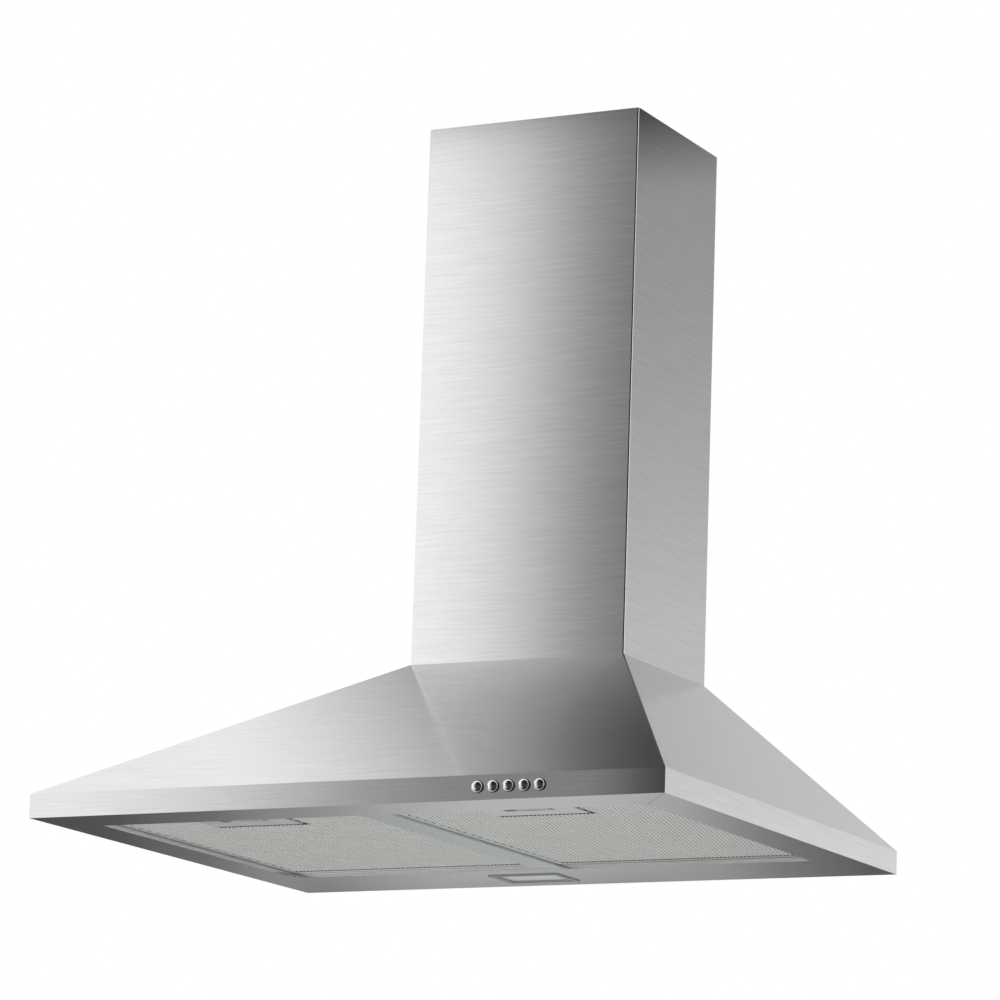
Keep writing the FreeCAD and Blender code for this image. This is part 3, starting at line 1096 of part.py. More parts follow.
def damper_flap(side, sign, first_knuckle):
    """Nearly half a disc, with webs to its knuckles on the pin; the other flap's knuckles lie between them."""
    y = "-blower_back"
    half_round = rod(f"flap_disc_{side}", "z", "outlet_radius - outlet_wall - flap_gap", "flap_thickness",
                     "0", y, f"{PIN_LEVEL} - flap_thickness / 2")
    near, far, root = f"{sign}flap_setback", f"{sign}outlet_radius", f"{sign}(flap_setback + flap_thickness)"
    low, high = (far, near) if sign else (near, far)
    half = block(f"flap_half_{side}", "-outlet_radius", "outlet_radius", f"{y} + {low}", f"{y} + {high}",
                 f"{PIN_LEVEL} - flap_thickness", f"{PIN_LEVEL} + flap_thickness")
    plate = shared(f"flap_plate_{side}", half_round, half)
    middles = KNUCKLE_MIDDLES[first_knuckle::2]
    barrels = [rod(f"knuckle_{side}_{i}", "x", KNUCKLE, "knuckle_length", f"{x} - knuckle_length / 2", y,
                   PIN_LEVEL)
               for i, x in enumerate(middles)]
    low, high = (root, "0") if sign else ("0", root)
    webs = [block(f"flap_web_{side}_{i}", f"{x} - knuckle_length / 2", f"{x} + knuckle_length / 2",
                  f"{y} + {low}",
                  f"{y} + {high}", f"{PIN_LEVEL} - flap_thickness / 2", f"{PIN_LEVEL} + flap_thickness / 2")
            for i, x in enumerate(middles)]
    pin_room = rod(f"flap_bore_{side}", "x", "flap_pin_radius + running_gap", "2 * outlet_radius",
                   "-outlet_radius", y, PIN_LEVEL)
    node(less(f"flap_{side}_made", joined(f"flap_folds_{side}", plate, *barrels, *webs), pin_room),
         f"damper_flap_{side}")


# ---- electrics and fasteners ----


def electrics():
    """The terminal box, its cover and terminals, the motor's capacitor in its clip and the cord's grommet."""
    box_rear = "-skin - box_wall"
    solid = block("box_block", *BOX_X, "-box_depth", "-skin", *BOX_Z)
    room = block("box_room", f"{BOX_X[0]} + box_wall", f"{BOX_X[1]} - box_wall", "-box_depth - box_wall",
                 box_rear, f"{BOX_Z[0]} + box_wall", f"{BOX_Z[1]} - box_wall")
    side_wall, lead_hole = f"{BOX_X[1]} - 3 * box_wall", "lead_radius + lead_play"
    entries = [
        rod("switch_entry", "x", "loom_radius + lead_play", "4 * box_wall", side_wall, LOOM_BACK, LOOM_LEVEL),
        rod("lamp_entry", "x", lead_hole, "4 * box_wall", side_wall, LAMP_LEAD_Y, LAMP_LEAD_Z),
        rod("motor_entry", "z", lead_hole, "4 * box_wall", MOTOR_DROP_X, MOTOR_LEAD_Y,
            f"{BOX_Z[1]} - 3 * box_wall"),
    ]
    node(less("box", solid, room, *entries), "terminal_box")
    node(block("box_lid", *BOX_X, "-box_depth - box_wall", "-box_depth", *BOX_Z), "terminal_cover")
    first, foot = f"{BOX_X[0]} + terminal_inset", f"{BOX_Z[0]} + terminal_lift"
    count = int(size("terminal_count"))
    blocks = [block(f"terminal_{i}", f"{first} + {i} * terminal_pitch",
                    f"{first} + {i} * terminal_pitch + terminal_width",
                    f"{box_rear} - terminal_depth", box_rear, foot,
                    f"{foot} + terminal_height") for i in range(count)]
    middle = f"{foot} + terminal_height / 2"
    rail = block("terminal_rail", f"{first} - rail_end",
                 f"{first} + {count - 1} * terminal_pitch + terminal_width + rail_end",
                 f"{box_rear} - rail_depth",
                 box_rear, f"{middle} - rail_height / 2", f"{middle} + rail_height / 2")
    node(joined("terminals", rail, *blocks), "terminal_block")
    cap_y, cap_z = "(-skin - capacitor_stand - capacitor_radius)", "capacitor_level"
    node(rod("capacitor_made", "x", "capacitor_radius", "capacitor_length", CAPACITOR_X, cap_y, cap_z),
         "motor_capacitor")
    saddle_x, reach = f"{CAPACITOR_X} + capacitor_length / 2", "(capacitor_radius + saddle_wall)"
    saddle = block("saddle_block", f"{saddle_x} - saddle_width / 2", f"{saddle_x} + saddle_width / 2",
                   f"{cap_y} - {reach}", "-skin", f"{cap_z} - {reach}", f"{cap_z} + {reach}")
    bore = rod("saddle_bore", "x", "capacitor_radius", "capacitor_length", CAPACITOR_X, cap_y, cap_z)
    node(less("saddle", saddle, bore), "capacitor_clip")
    grommet = part_design("cable_grommet")
    neck, shoulder = "cable_hole_radius - grommet_play", "-skin - grommet_play / 2"
    turned(grommet, "grommet_ring", sketch(grommet, "grommet_profile", "XY_Plane", "0", [
        ("cable_radius", "-grommet_depth"), ("grommet_head", "-grommet_depth"), ("grommet_head", shoulder),
        (neck, shoulder), (neck, "-grommet_play"), ("cable_radius", "-grommet_play"),
    ]), "V_Axis")
    place(grommet, GROMMET_X, "0", GROMMET_Z)
    loom()


def loom():
    """The harness: from the switch round the rim and along the back, from the lamp, and from the motor."""
    def spot(*texts):
        """The point whose three coordinates the texts name."""
        return Vector(*[measure(text) for text in texts])

    side_x, switch_y = f"{HALF} - side_strip / 2", f"{SWITCH_FRONT} + switch_depth"
    bend_y, inside = f"{switch_y} + skin + loom_run", f"{BOX_X[1]} - lead_end"
    from_switch = [
        spot("button_middle", switch_y, "rim_height / 2"),
        spot("button_middle", bend_y, "rim_height / 2"),
        spot("button_middle + loom_climb", bend_y, LOOM_LEVEL),
        spot(side_x, bend_y, LOOM_LEVEL),
        spot(side_x, LOOM_BACK, LOOM_LEVEL),
        spot(inside, LOOM_BACK, LOOM_LEVEL),
    ]
    lamp_x = f"{LAMP_X[0]} + bezel_seat + panel_play + 2 * lamp_wall"
    from_lamp = [spot(lamp_x, LAMP_LEAD_Y, LAMP_LEAD_Z), spot(inside, LAMP_LEAD_Y, LAMP_LEAD_Z)]
    motor_end, motor_y = "motor_start + motor_length", "motor_lead_offset - blower_back"
    run_x, run_z = f"{motor_end} + motor_lead_run", f"{BOX_Z[1]} + motor_lead_lift"
    from_motor = [
        spot(f"{motor_end} - can_wall", motor_y, "shaft_height"),
        spot(run_x, motor_y, "shaft_height"),
        spot(run_x, MOTOR_LEAD_Y, "shaft_height - motor_lead_drop"),
        spot(run_x, MOTOR_LEAD_Y, run_z),
        spot(MOTOR_DROP_X, MOTOR_LEAD_Y, run_z),
        spot(MOTOR_DROP_X, MOTOR_LEAD_Y, f"{BOX_Z[1]} - lead_end"),
    ]
    radius, lead = size("loom_radius"), size("lead_radius")
    made = doc.addObject("Part::Feature", "harness")
    made.Shape = Part.makeCompound([
        tube_along(from_switch, radius, size("loom_bend")),
        tube_along(from_lamp, lead, size("lead_bend")),
        tube_along(from_motor, lead, size("lead_bend")),
    ])
    node(made, "wiring_loom")


def tube_along(points, radius, bend):
    """A round tube along straight runs joined by tangent arcs."""
    edges, start = [], points[0]
    for before, corner, after in zip(points, points[1:], points[2:]):
        inward, outward = (corner - before).normalize(), (after - corner).normalize()
        half_turn = inward.getAngle(outward) / 2
        reach = bend * math.tan(half_turn)
        first, last = corner - inward * reach, corner + outward * reach
        toward = (outward - inward).normalize()
        middle = corner + toward * (bend / math.cos(half_turn) - bend)
        edges += [Part.LineSegment(start, first).toShape(), Part.Arc(first, middle, last).toShape()]
        start = last
    edges.append(Part.LineSegment(start, points[-1]).toShape())
    ring = Part.Wire(Part.Circle(points[0], points[1] - points[0], radius).toShape())
    swept = Part.Wire(edges).makePipeShell([ring], True, False)
    length = sum(edge.Length for edge in edges)
    print(f"wiring loom: {length:.0f} mm long")
    return swept


def switch_screws():
    pair = [screw(f"foot_screw_{i}", "z", -1, x, f"({SWITCH_FRONT} + foot_screw_back)", "(2 * skin)", "skin")
            for i, x in enumerate(SWITCH_SCREW_X)]
    node(compound("foot_screws", pair), "switch_screws")


def check_and_write():
    """Stops if anything failed or is not a sound solid; then writes one file for each node."""
    doc.recompute()
    failed = [f"{o.Label}: {o.State}" for o in doc.Objects if "Invalid" in o.State or "Error" in o.State]
    for made in NODES:
        shape = made.Shape
        if shape.isNull() or not shape.isValid() or not shape.Solids:
            failed.append(f"{made.Label}: not a sound solid")
    if failed:
        raise SystemExit("\n".join(failed))
    os.makedirs("parts", exist_ok=True)
    for made in NODES:
        made.Shape.exportStep(os.path.join("parts", f"{made.Label}.step"))
        print(f"{made.Label}: {len(made.Shape.Solids)} solid, {made.Shape.Volume / 1000:.2f} cm3")
    print(f"{len(NODES)} nodes")


fill_sheet()
canopy_shell()
back_panel()
lamp_panel()
centre_bar()
lower_chimney()
upper_chimney()
upper_bracket()
for filter_side in FILTER_MIDDLE:
    filter_cassette(filter_side)
push_buttons()
switch_unit()
lamp()
scroll_half("left", "(-blower_width / 2)", "(-blower_width / 2 + blower_wall)")
scroll_half("right", "0", "0")
blower_bracket()
fan_wheel()
motor()
outlet()
damper_flap("front", "-", 0)
damper_flap("rear", "", 1)
electrics()
switch_screws()
check_and_write()
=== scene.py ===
"""Studio picture of a wall-mounted chimney range hood, in metres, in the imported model's own frame."""

import math

import bmesh
import bpy
from mathutils import Matrix, Vector


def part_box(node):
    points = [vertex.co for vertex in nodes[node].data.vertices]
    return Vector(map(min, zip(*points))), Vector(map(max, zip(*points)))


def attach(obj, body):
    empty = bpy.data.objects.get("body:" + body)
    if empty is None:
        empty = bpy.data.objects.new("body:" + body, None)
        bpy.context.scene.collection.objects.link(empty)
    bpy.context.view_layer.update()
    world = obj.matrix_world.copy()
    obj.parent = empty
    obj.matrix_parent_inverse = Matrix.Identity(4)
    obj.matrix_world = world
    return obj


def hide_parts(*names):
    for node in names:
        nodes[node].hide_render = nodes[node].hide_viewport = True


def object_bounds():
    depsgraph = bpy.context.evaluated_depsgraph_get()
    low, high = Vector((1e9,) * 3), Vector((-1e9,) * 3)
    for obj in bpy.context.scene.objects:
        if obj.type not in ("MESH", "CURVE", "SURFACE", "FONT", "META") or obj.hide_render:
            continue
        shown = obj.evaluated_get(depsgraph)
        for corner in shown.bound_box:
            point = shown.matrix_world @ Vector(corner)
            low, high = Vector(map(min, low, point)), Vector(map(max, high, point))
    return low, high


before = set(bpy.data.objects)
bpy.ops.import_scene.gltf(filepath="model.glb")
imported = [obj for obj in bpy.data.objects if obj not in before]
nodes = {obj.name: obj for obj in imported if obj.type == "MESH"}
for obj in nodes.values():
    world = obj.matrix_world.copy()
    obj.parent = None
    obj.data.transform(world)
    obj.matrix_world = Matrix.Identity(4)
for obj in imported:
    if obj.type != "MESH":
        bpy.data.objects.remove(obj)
cad_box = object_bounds()

# ---- Camera ----------------------------------------------------------------------------------------------
# It stands to the right of the hood and well below it and looks up at it through a long lens. It has no lens
# shift, so that it frames the hood from any other side as well.

camera = bpy.data.objects.new("camera", bpy.data.cameras.new("camera"))
bpy.context.scene.collection.objects.link(camera)
bpy.context.scene.camera = camera
bpy.context.scene.view_settings.view_transform = "Standard"
CAMERA_PLACE, CAMERA_LENS = (1.911, -4.002, -0.578), 174.04
CAMERA_TURN, CAMERA_RISE, CAMERA_ROLL = (math.radians(angle) for angle in (26.79, 11.93, 1.91))
camera.location = CAMERA_PLACE
aim = Matrix.Rotation(CAMERA_TURN, 3, "Z") @ Matrix.Rotation(math.pi / 2 + CAMERA_RISE, 3, "X")
camera.rotation_euler = (aim @ Matrix.Rotation(CAMERA_ROLL, 3, "Z")).to_euler()
camera.data.lens = CAMERA_LENS

# ---- Studio: white room, pale floor, soft lamps and the cards that the steel mirrors ---------------------
# Brushed steel shows only what it mirrors, so graded cards stand round the hood as flags do in a studio. Only
# mirror rays see them; two soft area lamps and the white room light everything else.


class Value:
    """A number that varies over a surface; each arithmetic operator adds one Math node."""

    def __init__(self, tree, socket):
        self.tree, self.socket = tree, socket

    def math(self, operation, *others):
        node = self.tree.nodes.new("ShaderNodeMath")
        node.operation = operation
        for slot, term in zip(node.inputs, (self.socket, *others)):
            feed(self.tree, slot, term)
        return Value(self.tree, node.outputs[0])

    def __add__(self, other):
        return self.math("ADD", other)

    def __sub__(self, other):
        return self.math("SUBTRACT", other)

    def __rsub__(self, other):
        return (self * -1).math("ADD", other)

    def __mul__(self, other):
        return self.math("MULTIPLY", other)

    def __truediv__(self, other):
        return self.math("DIVIDE", other)

    def __lt__(self, other):
        return self.math("LESS_THAN", other)

    def __gt__(self, other):
        return self.math("GREATER_THAN", other)

    __radd__, __rmul__ = __add__, __mul__

    def clamp(self):
        return self.math("MAXIMUM", 0.0).math("MINIMUM", 1.0)


def feed(tree, slot, term):
    """Links a socket, or sets its value."""
    term = term.socket if isinstance(term, Value) else term
    if isinstance(term, bpy.types.NodeSocket):
        tree.links.new(term, slot)
    else:
        slot.default_value = term


class Finish:
    """A material put together from nodes, with its surface shader ready as shader."""

    def __init__(self, name, **plain):
        self.material = bpy.data.materials.new(name)
        self.material.use_nodes = True
        self.tree = self.material.node_tree
        self.shader = self.tree.nodes["Principled BSDF"]
        for words, value in plain.items():
            self.set(**{words: value})
        self.place = self.node("ShaderNodeTexCoord").outputs["Object"]

    def node(self, kind, settings=None, **inputs):
        made = self.tree.nodes.new(kind)
        for name, value in (settings or {}).items():
            setattr(made, name, value)
        for name, term in inputs.items():
            feed(self.tree, made.inputs[name.replace("_", " ")], term)
        return made

    def value(self, socket):
        return Value(self.tree, socket)

    def axes(self):
        split = self.node("ShaderNodeSeparateXYZ", Vector=self.place)
        return [self.value(split.outputs[axis]) for axis in "XYZ"]

    def noise(self, stretch, detail=3.0, rough=0.5):
        """Noise from 0 to 1; stretch is its count of waves per metre along X, Y and Z."""
        scaled = self.node("ShaderNodeVectorMath", {"operation": "MULTIPLY"})
        feed(self.tree, scaled.inputs[0], self.place)
        scaled.inputs[1].default_value = stretch
        made = self.node(
            "ShaderNodeTexNoise", Vector=scaled.outputs[0], Scale=1.0, Detail=detail, Roughness=rough)
        return self.value(made.outputs["Fac"])

    def ramp(self, amount, stops):
        """Blends between (position, shade of grey) stops."""
        made = self.node("ShaderNodeValToRGB")
        band = made.color_ramp.elements
        while len(band) < len(stops):
            band.new(0.5)
        for element, (position, shade) in zip(band, stops):
            element.position = position
            element.color = (shade, shade, shade, 1.0)
        feed(self.tree, made.inputs[0], amount)
        return made.outputs["Color"]

    def mix(self, amount, first, second):
        made = self.node("ShaderNodeMix", {"data_type": "RGBA"})
        feed(self.tree, made.inputs[0], amount)
        for slot, colour in ((made.inputs[6], first), (made.inputs[7], second)):
            feed(self.tree, slot, (*colour, 1.0) if isinstance(colour, tuple) else colour)
        return made.outputs[2]

    def set(self, **inputs):
        for name, term in inputs.items():
            feed(self.tree, self.shader.inputs[name.replace("_", " ")], term)

    def bump(self, height, strength, distance):
        made = self.node("ShaderNodeBump", Height=height)
        made.inputs["Strength"].default_value = strength
        made.inputs["Distance"].default_value = distance
        self.set(Normal=made.outputs["Normal"])


def mesh_piece(name, vertices, faces):
    mesh = bpy.data.meshes.new(name)
    mesh.from_pydata([tuple(v) for v in vertices], [], faces)
    made = bpy.data.objects.new(name, mesh)
    bpy.context.scene.collection.objects.link(made)
    return made


def card(name, wall, across, along, rise, stops):
    """An upright card, parallel to the wall, that only mirror rays see.

    stops are (place, shade) pairs: the place is read across the card, or up it if along is "z".
    """
    (left, right), (foot, head) = across, rise
    corners = [(left, wall, foot), (right, wall, foot), (right, wall, head), (left, wall, head)]
    made = mesh_piece(name, corners, [(0, 1, 2, 3)])
    paper = Finish(name)
    x, _, z = paper.axes()
    low, high = across if along == "x" else rise
    amount = ((x if along == "x" else z) - low) / (high - low)
    tone = paper.ramp(amount, [((place - low) / (high - low), shade) for place, shade in stops])
    glow = paper.node("ShaderNodeEmission", Color=tone)
    paper.tree.links.new(glow.outputs[0], paper.tree.nodes["Material Output"].inputs["Surface"])
    made.data.materials.append(paper.material)
    made.visible_camera = made.visible_diffuse = made.visible_shadow = made.visible_transmission = False


# Shades by place, in metres. The rim, the front of the chimney and the domes of the buttons mirror the cards
# in front of the hood. The slopes, the right side and the underside mirror those behind the wall plane.
FRONT_WALL, REAR_WALL = -1.15, 0.55
FRONT_SPAN, SLOPE_SPAN, SIDE_SPAN, UNDER_SPAN = (-2.2, 2.4), (-2.2, -0.26), (-0.26, 2.2), (-2.0, 1.0)
LOW_SPAN, LOW_RISE = (-0.9, 2.4), (-3.2, -0.6)
RIM_FOOT, CHIMNEY_FOOT, CHIMNEY_TOP, TOP_HEAD = -0.6, 0.24, 1.02, 2.6
SLOPE_RISE, SIDE_RISE = (0.62, 2.0), (0.0, 2.0)
UNDER_FOOT, UNDER_SPLIT, UNDER_HEAD = -0.9, -0.095, -0.005
LOW_CARD = [(-0.9, 0.10), (0.0, 0.02), (2.4, 0.02)]
RIM_CARD = [(-1.2, 0.93), (-0.66, 0.93), (-0.50, 0.73), (-0.33, 0.375), (-0.24, 0.27), (-0.15, 0.24),
            (-0.08, 0.26), (-0.05, 0.19), (-0.02, 0.06), (0.02, 0.04), (1.2, 0.06)]
CHIMNEY_CARD = [(-1.4, 1.0), (-0.70, 1.05), (-0.62, 1.04), (-0.587, 0.97), (-0.54, 0.85), (-0.516, 0.765),
                (-0.47, 0.56), (-0.445, 0.455), (-0.42, 0.35), (-0.40, 0.285), (-0.37, 0.22), (-0.30, 0.16),
                (-0.2, 0.10), (0.0, 0.02), (1.2, 0.02)]
TOP_CARD = [(-1.6, 0.7), (-0.95, 0.60), (-0.80, 0.50), (-0.76, 0.45), (-0.726, 0.38), (-0.696, 0.31),
            (-0.66, 0.21), (-0.63, 0.15), (-0.60, 0.09), (-0.56, 0.03), (-0.53, 0.01), (1.0, 0.01)]
SLOPE_CARD = [(-1.8, 0.95), (-1.02, 0.90), (-0.90, 0.92), (-0.84, 0.87), (-0.77, 0.76), (-0.70, 0.62),
              (-0.64, 0.50), (-0.60, 0.42), (-0.50, 0.25), (-0.34, 0.10)]
SIDE_CARD = [(0.0, 0.76), (0.10, 0.74), (0.18, 0.66), (0.28, 0.57), (0.36, 0.55), (0.48, 0.47),
             (0.59, 0.41), (0.70, 0.36), (0.83, 0.33), (0.88, 0.18), (0.93, 0.03), (1.3, 0.01)]
UNDER_FRONT_CARD = [(-1.1, 0.06), (-0.85, 0.09), (-0.79, 0.13), (-0.73, 0.15), (-0.67, 0.24), (-0.60, 0.29),
                    (-0.50, 0.41), (-0.39, 0.50), (-0.28, 0.49), (-0.23, 0.46), (-0.16, 0.38),
                    (-0.11, 0.28), (-0.05, 0.19), (0.05, 0.10)]
UNDER_REAR_CARD = [(-1.1, 0.06), (-0.85, 0.07), (-0.70, 0.21), (-0.63, 0.24), (-0.58, 0.18), (-0.50, 0.27),
                   (-0.44, 0.32), (-0.40, 0.31), (-0.22, 0.26), (-0.16, 0.29), (-0.11, 0.31), (-0.05, 0.22),
                   (0.05, 0.12)]
card("low_card", FRONT_WALL, LOW_SPAN, "x", LOW_RISE, LOW_CARD)
card("rim_card", FRONT_WALL, FRONT_SPAN, "x", (RIM_FOOT, CHIMNEY_FOOT), RIM_CARD)
card("chimney_card", FRONT_WALL, FRONT_SPAN, "x", (CHIMNEY_FOOT, CHIMNEY_TOP), CHIMNEY_CARD)
card("top_card", FRONT_WALL, FRONT_SPAN, "x", (CHIMNEY_TOP, TOP_HEAD), TOP_CARD)
card("slope_card", REAR_WALL, SLOPE_SPAN, "x", SLOPE_RISE, SLOPE_CARD)
card("side_card", REAR_WALL, SIDE_SPAN, "z", SIDE_RISE, SIDE_CARD)
card("under_front_card", REAR_WALL, UNDER_SPAN, "x", (UNDER_FOOT, UNDER_SPLIT), UNDER_FRONT_CARD)
card("under_rear_card", REAR_WALL, UNDER_SPAN, "x", (UNDER_SPLIT, UNDER_HEAD), UNDER_REAR_CARD)

FLOOR_LEVEL, FLOOR_HALF = -6.0, 20
floor_signs = ((-1, -1), (1, -1), (1, 1), (-1, 1))
floor_corners = [(x * FLOOR_HALF, y * FLOOR_HALF, FLOOR_LEVEL) for x, y in floor_signs]
floor = mesh_piece("floor", floor_corners, [(0, 1, 2, 3)])
floor_paint = Finish("floor_paint", Roughness=0.8)
cloud = floor_paint.noise((3, 3, 3))
floor_paint.set(Base_Color=floor_paint.mix(cloud, (0.92, 0.92, 0.92), (0.95, 0.95, 0.95)))
floor.data.materials.append(floor_paint.material)
floor.visible_camera = False

BACKDROP_WHITE, ROOM_WHITE, ROOM_STRENGTH = (1, 1, 1, 1), (0.96, 0.98, 1.0, 1), 0.62
room = bpy.data.worlds.new("room")
bpy.context.scene.world = room
room.use_nodes = True
room_nodes, room_links = room.node_tree.nodes, room.node_tree.links
backdrop = room_nodes["Background"]
backdrop.inputs["Color"].default_value = BACKDROP_WHITE
backdrop.inputs["Strength"].default_value = 1.0
dim = room_nodes.new("ShaderNodeBackground")
dim.inputs["Color"].default_value = ROOM_WHITE
dim.inputs["Strength"].default_value = ROOM_STRENGTH
path = room_nodes.new("ShaderNodeLightPath")
seen = Value(room.node_tree, path.outputs["Is Camera Ray"])
seen = (seen + path.outputs["Is Glossy Ray"] + path.outputs["Is Transmission Ray"]).clamp()
blend = room_nodes.new("ShaderNodeMixShader")
feed(room.node_tree, blend.inputs[0], seen)
room_links.new(dim.outputs[0], blend.inputs[1])
room_links.new(backdrop.outputs[0], blend.inputs[2])
room_links.new(blend.outputs[0], room_nodes["World Output"].inputs["Surface"])


def lamp_at(name, place, target, width, power):
    """A square area lamp that faces its target and that no steel mirrors."""
    made = bpy.data.objects.new(name, bpy.data.lights.new(name, "AREA"))
    bpy.context.scene.collection.objects.link(made)
    made.data.shape, made.data.size, made.data.energy = "SQUARE", width, power
    made.location = place
    made.rotation_mode = "QUATERNION"
    made.rotation_quaternion = (Vector(target) - Vector(place)).to_track_quat("-Z", "Y")
    made.visible_glossy = False


lamp_at("key_lamp", (-1.6, -2.4, 1.6), (0, -0.25, 0.2), width=1.4, power=26.0)
lamp_at("low_lamp", (1.2, -1.8, -1.7), (0, -0.25, 0.0), width=1.2, power=16.0)

# ---- Canopy, lamp panel and chimneys ---------------------------------------------------------------------
# Folded stainless sheet 0.8 mm thick with a level brushed grain. The shell's strips underneath are folded in
# and meet in open mitres, and the lamp panel lies between the side ones. The two chimneys are U-shaped and
# telescope.

RIM_HALF, RIM_DEPTH = cad_box[1].x, -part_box("canopy_shell")[0].y
OPEN_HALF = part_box("lamp_panel")[1].x
OPEN_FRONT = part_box("centre_bar")[0].y
UNDERSIDE_TOP = 0.0006


def soften(node, width, segments=3):
    """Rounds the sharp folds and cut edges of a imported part, whose mesh stays as it is."""
    bevel = nodes[node].modifiers.new("folds", "BEVEL")
    bevel.width, bevel.segments, bevel.limit_method = width, segments, "ANGLE"
    bevel.angle_limit = math.radians(25)


def paint(node, finish):
    """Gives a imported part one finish."""
    slots = nodes[node].data.materials
    slots.clear()
    slots.append(finish.material)


STEEL, STEEL_LOW = (0.93, 0.93, 0.925), (0.78, 0.78, 0.78)
GRAIN_ALONG, GRAIN_ACROSS = 24.0, 1300.0


def brushed(name, strips):
    """Satin stainless with long level scratches.

    With strips, the grain follows the turned-in strips underneath, and runs to the wall on the side ones.
    """
    made = Finish(name, Metallic=1.0)
    x, y, z = made.axes()
    level = made.noise((GRAIN_ALONG, GRAIN_ALONG, GRAIN_ACROSS), 3.0, 0.6)
    coarse = made.noise((16.0, 16.0, 420.0), 2.0, 0.5)
    if strips:
        along_x = made.noise((GRAIN_ALONG, GRAIN_ACROSS, GRAIN_ALONG), 3.0, 0.6)
        along_y = made.noise((GRAIN_ACROSS, GRAIN_ALONG, GRAIN_ALONG), 3.0, 0.6)
        # the mitre runs from the rim's corner to the corner of the opening
        inward_x = (RIM_HALF - x.math("ABSOLUTE")) / (RIM_HALF - OPEN_HALF)
        inward_y = (y + RIM_DEPTH) / (OPEN_FRONT + RIM_DEPTH)
        on_side = inward_x < inward_y
        under = along_y * on_side + along_x * (1 - on_side)
        below = z < UNDERSIDE_TOP
        level = under * below + level * (1 - below)
    smudge = made.noise((7.0, 7.0, 9.0), 3.0, 0.5)
    made.set(
        Base_Color=made.mix((level * 1.4 + coarse * 0.8 - 0.6).clamp(), STEEL_LOW, STEEL),
        Roughness=0.10 + 0.04 * level + 0.03 * smudge,
    )
    made.bump(level, 0.03, 0.0002)
    return made


shell_steel = brushed("brushed_shell", True)
level_steel = brushed("brushed_level", False)
paint("canopy_shell", shell_steel)
soften("canopy_shell", 0.0006)
paint("lamp_panel", shell_steel)
for part in ("lower_chimney", "upper_chimney"):
    paint(part, level_steel)
    soften(part, 0.00025, 2)

bar_coat = Finish("bar_coat", Metallic=0.85)
grain = bar_coat.noise((1400.0, 12.0, 12.0), 3.0, 0.6)
bar_coat.set(
    Base_Color=bar_coat.mix(grain, (0.70, 0.73, 0.725), (0.77, 0.80, 0.795)),
    Roughness=0.36 + 0.08 * grain,
)
bar_coat.bump(grain, 0.08, 0.0002)
paint("centre_bar", bar_coat)
soften("centre_bar", 0.0005)

# ---- Back panel and brackets -----------------------------------------------------------------------------
# Zinc-coated sheet with a faint spangle, pressed and folded, out of sight once the hood hangs on its wall.
# The motor's spider and the capacitor's clip are of the same sheet.

zinc = Finish("zinc_sheet", Metallic=0.9)
spangle = zinc.value(zinc.node("ShaderNodeTexVoronoi", Vector=zinc.place, Scale=160.0).outputs["Distance"])
cloud = zinc.noise((14, 14, 14), 4.0)
zinc.set(
    Base_Color=zinc.mix((spangle * 0.9 + cloud * 0.3).clamp(), (0.50, 0.52, 0.54), (0.68, 0.70, 0.71)),
    Roughness=0.32 + 0.22 * cloud,
)
zinc.bump(spangle, 0.06, 0.0003)
for part in ("back_panel", "upper_bracket", "blower_bracket", "switch_bracket", "motor_spider",
             "capacitor_clip"):
    paint(part, zinc)
    soften(part, 0.0002, 2)

# ---- Grease filters --------------------------------------------------------------------------------------
# Each is a folded aluminium frame with three sheets of expanded metal behind a visible one, whose slanting
# strands are each made. A satin plate at the front holds the finger slot and the pale grey sliding latch.

FILTER_SIDES = ("left", "right")
MESH_PITCH_X, MESH_PITCH_Y = 0.0038, 0.0150
STRAND_WIDTH, STRAND_DEPTH, STRAND_LIFT = 0.0009, 0.0005, 0.00012
FRAME_BORDER, FRAME_OVERLAP = 0.005, 0.002

filter_alu = Finish("filter_aluminium", Metallic=0.7)
cloud = filter_alu.noise((40, 40, 40), 4.0)
lines = filter_alu.noise((12, 900, 900), 3.0)
filter_alu.set(
    Base_Color=filter_alu.mix((0.6 * cloud + 0.4 * lines).clamp(), (0.72, 0.74, 0.73), (0.90, 0.91, 0.90)),
    Roughness=0.34 + 0.2 * cloud,
)
filter_alu.bump(lines, 0.06, 0.0002)
for side in FILTER_SIDES:
    for part in ("filter_frame", "latch_plate"):
        paint(f"{part}_{side}", filter_alu)
        soften(f"{part}_{side}", 0.0003, 2)

strand_metal = Finish("strand_metal", Metallic=0.25)
cloud = strand_metal.noise((30, 30, 30), 3.0)
strand_metal.set(
    Base_Color=strand_metal.mix(cloud, (0.90, 0.91, 0.86), (0.98, 0.98, 0.94)),
    Roughness=0.42 + 0.15 * cloud,
)

# The three sheets behind the visible one are a single box coloured as painted shade. Its near-black holes and
# dark grey strands stand for the shade inside the filter, not for the colour of its aluminium.
layer_metal = Finish("layer_metal", Metallic=0.6)
x, y, _ = layer_metal.axes()
HOLE_LEVEL = 0.1
across = (x * (2 * math.pi / MESH_PITCH_X)).math("SINE")
along = (y * (2 * math.pi / MESH_PITCH_Y)).math("SINE")
shaded_holes = (across * along) > HOLE_LEVEL
layer_metal.set(
    Base_Color=layer_metal.mix(shaded_holes, (0.11, 0.11, 0.10), (0.01, 0.01, 0.01)),
    Roughness=0.5 + 0.2 * shaded_holes,
)
for side in FILTER_SIDES:
    paint(f"filter_pack_{side}", layer_metal)


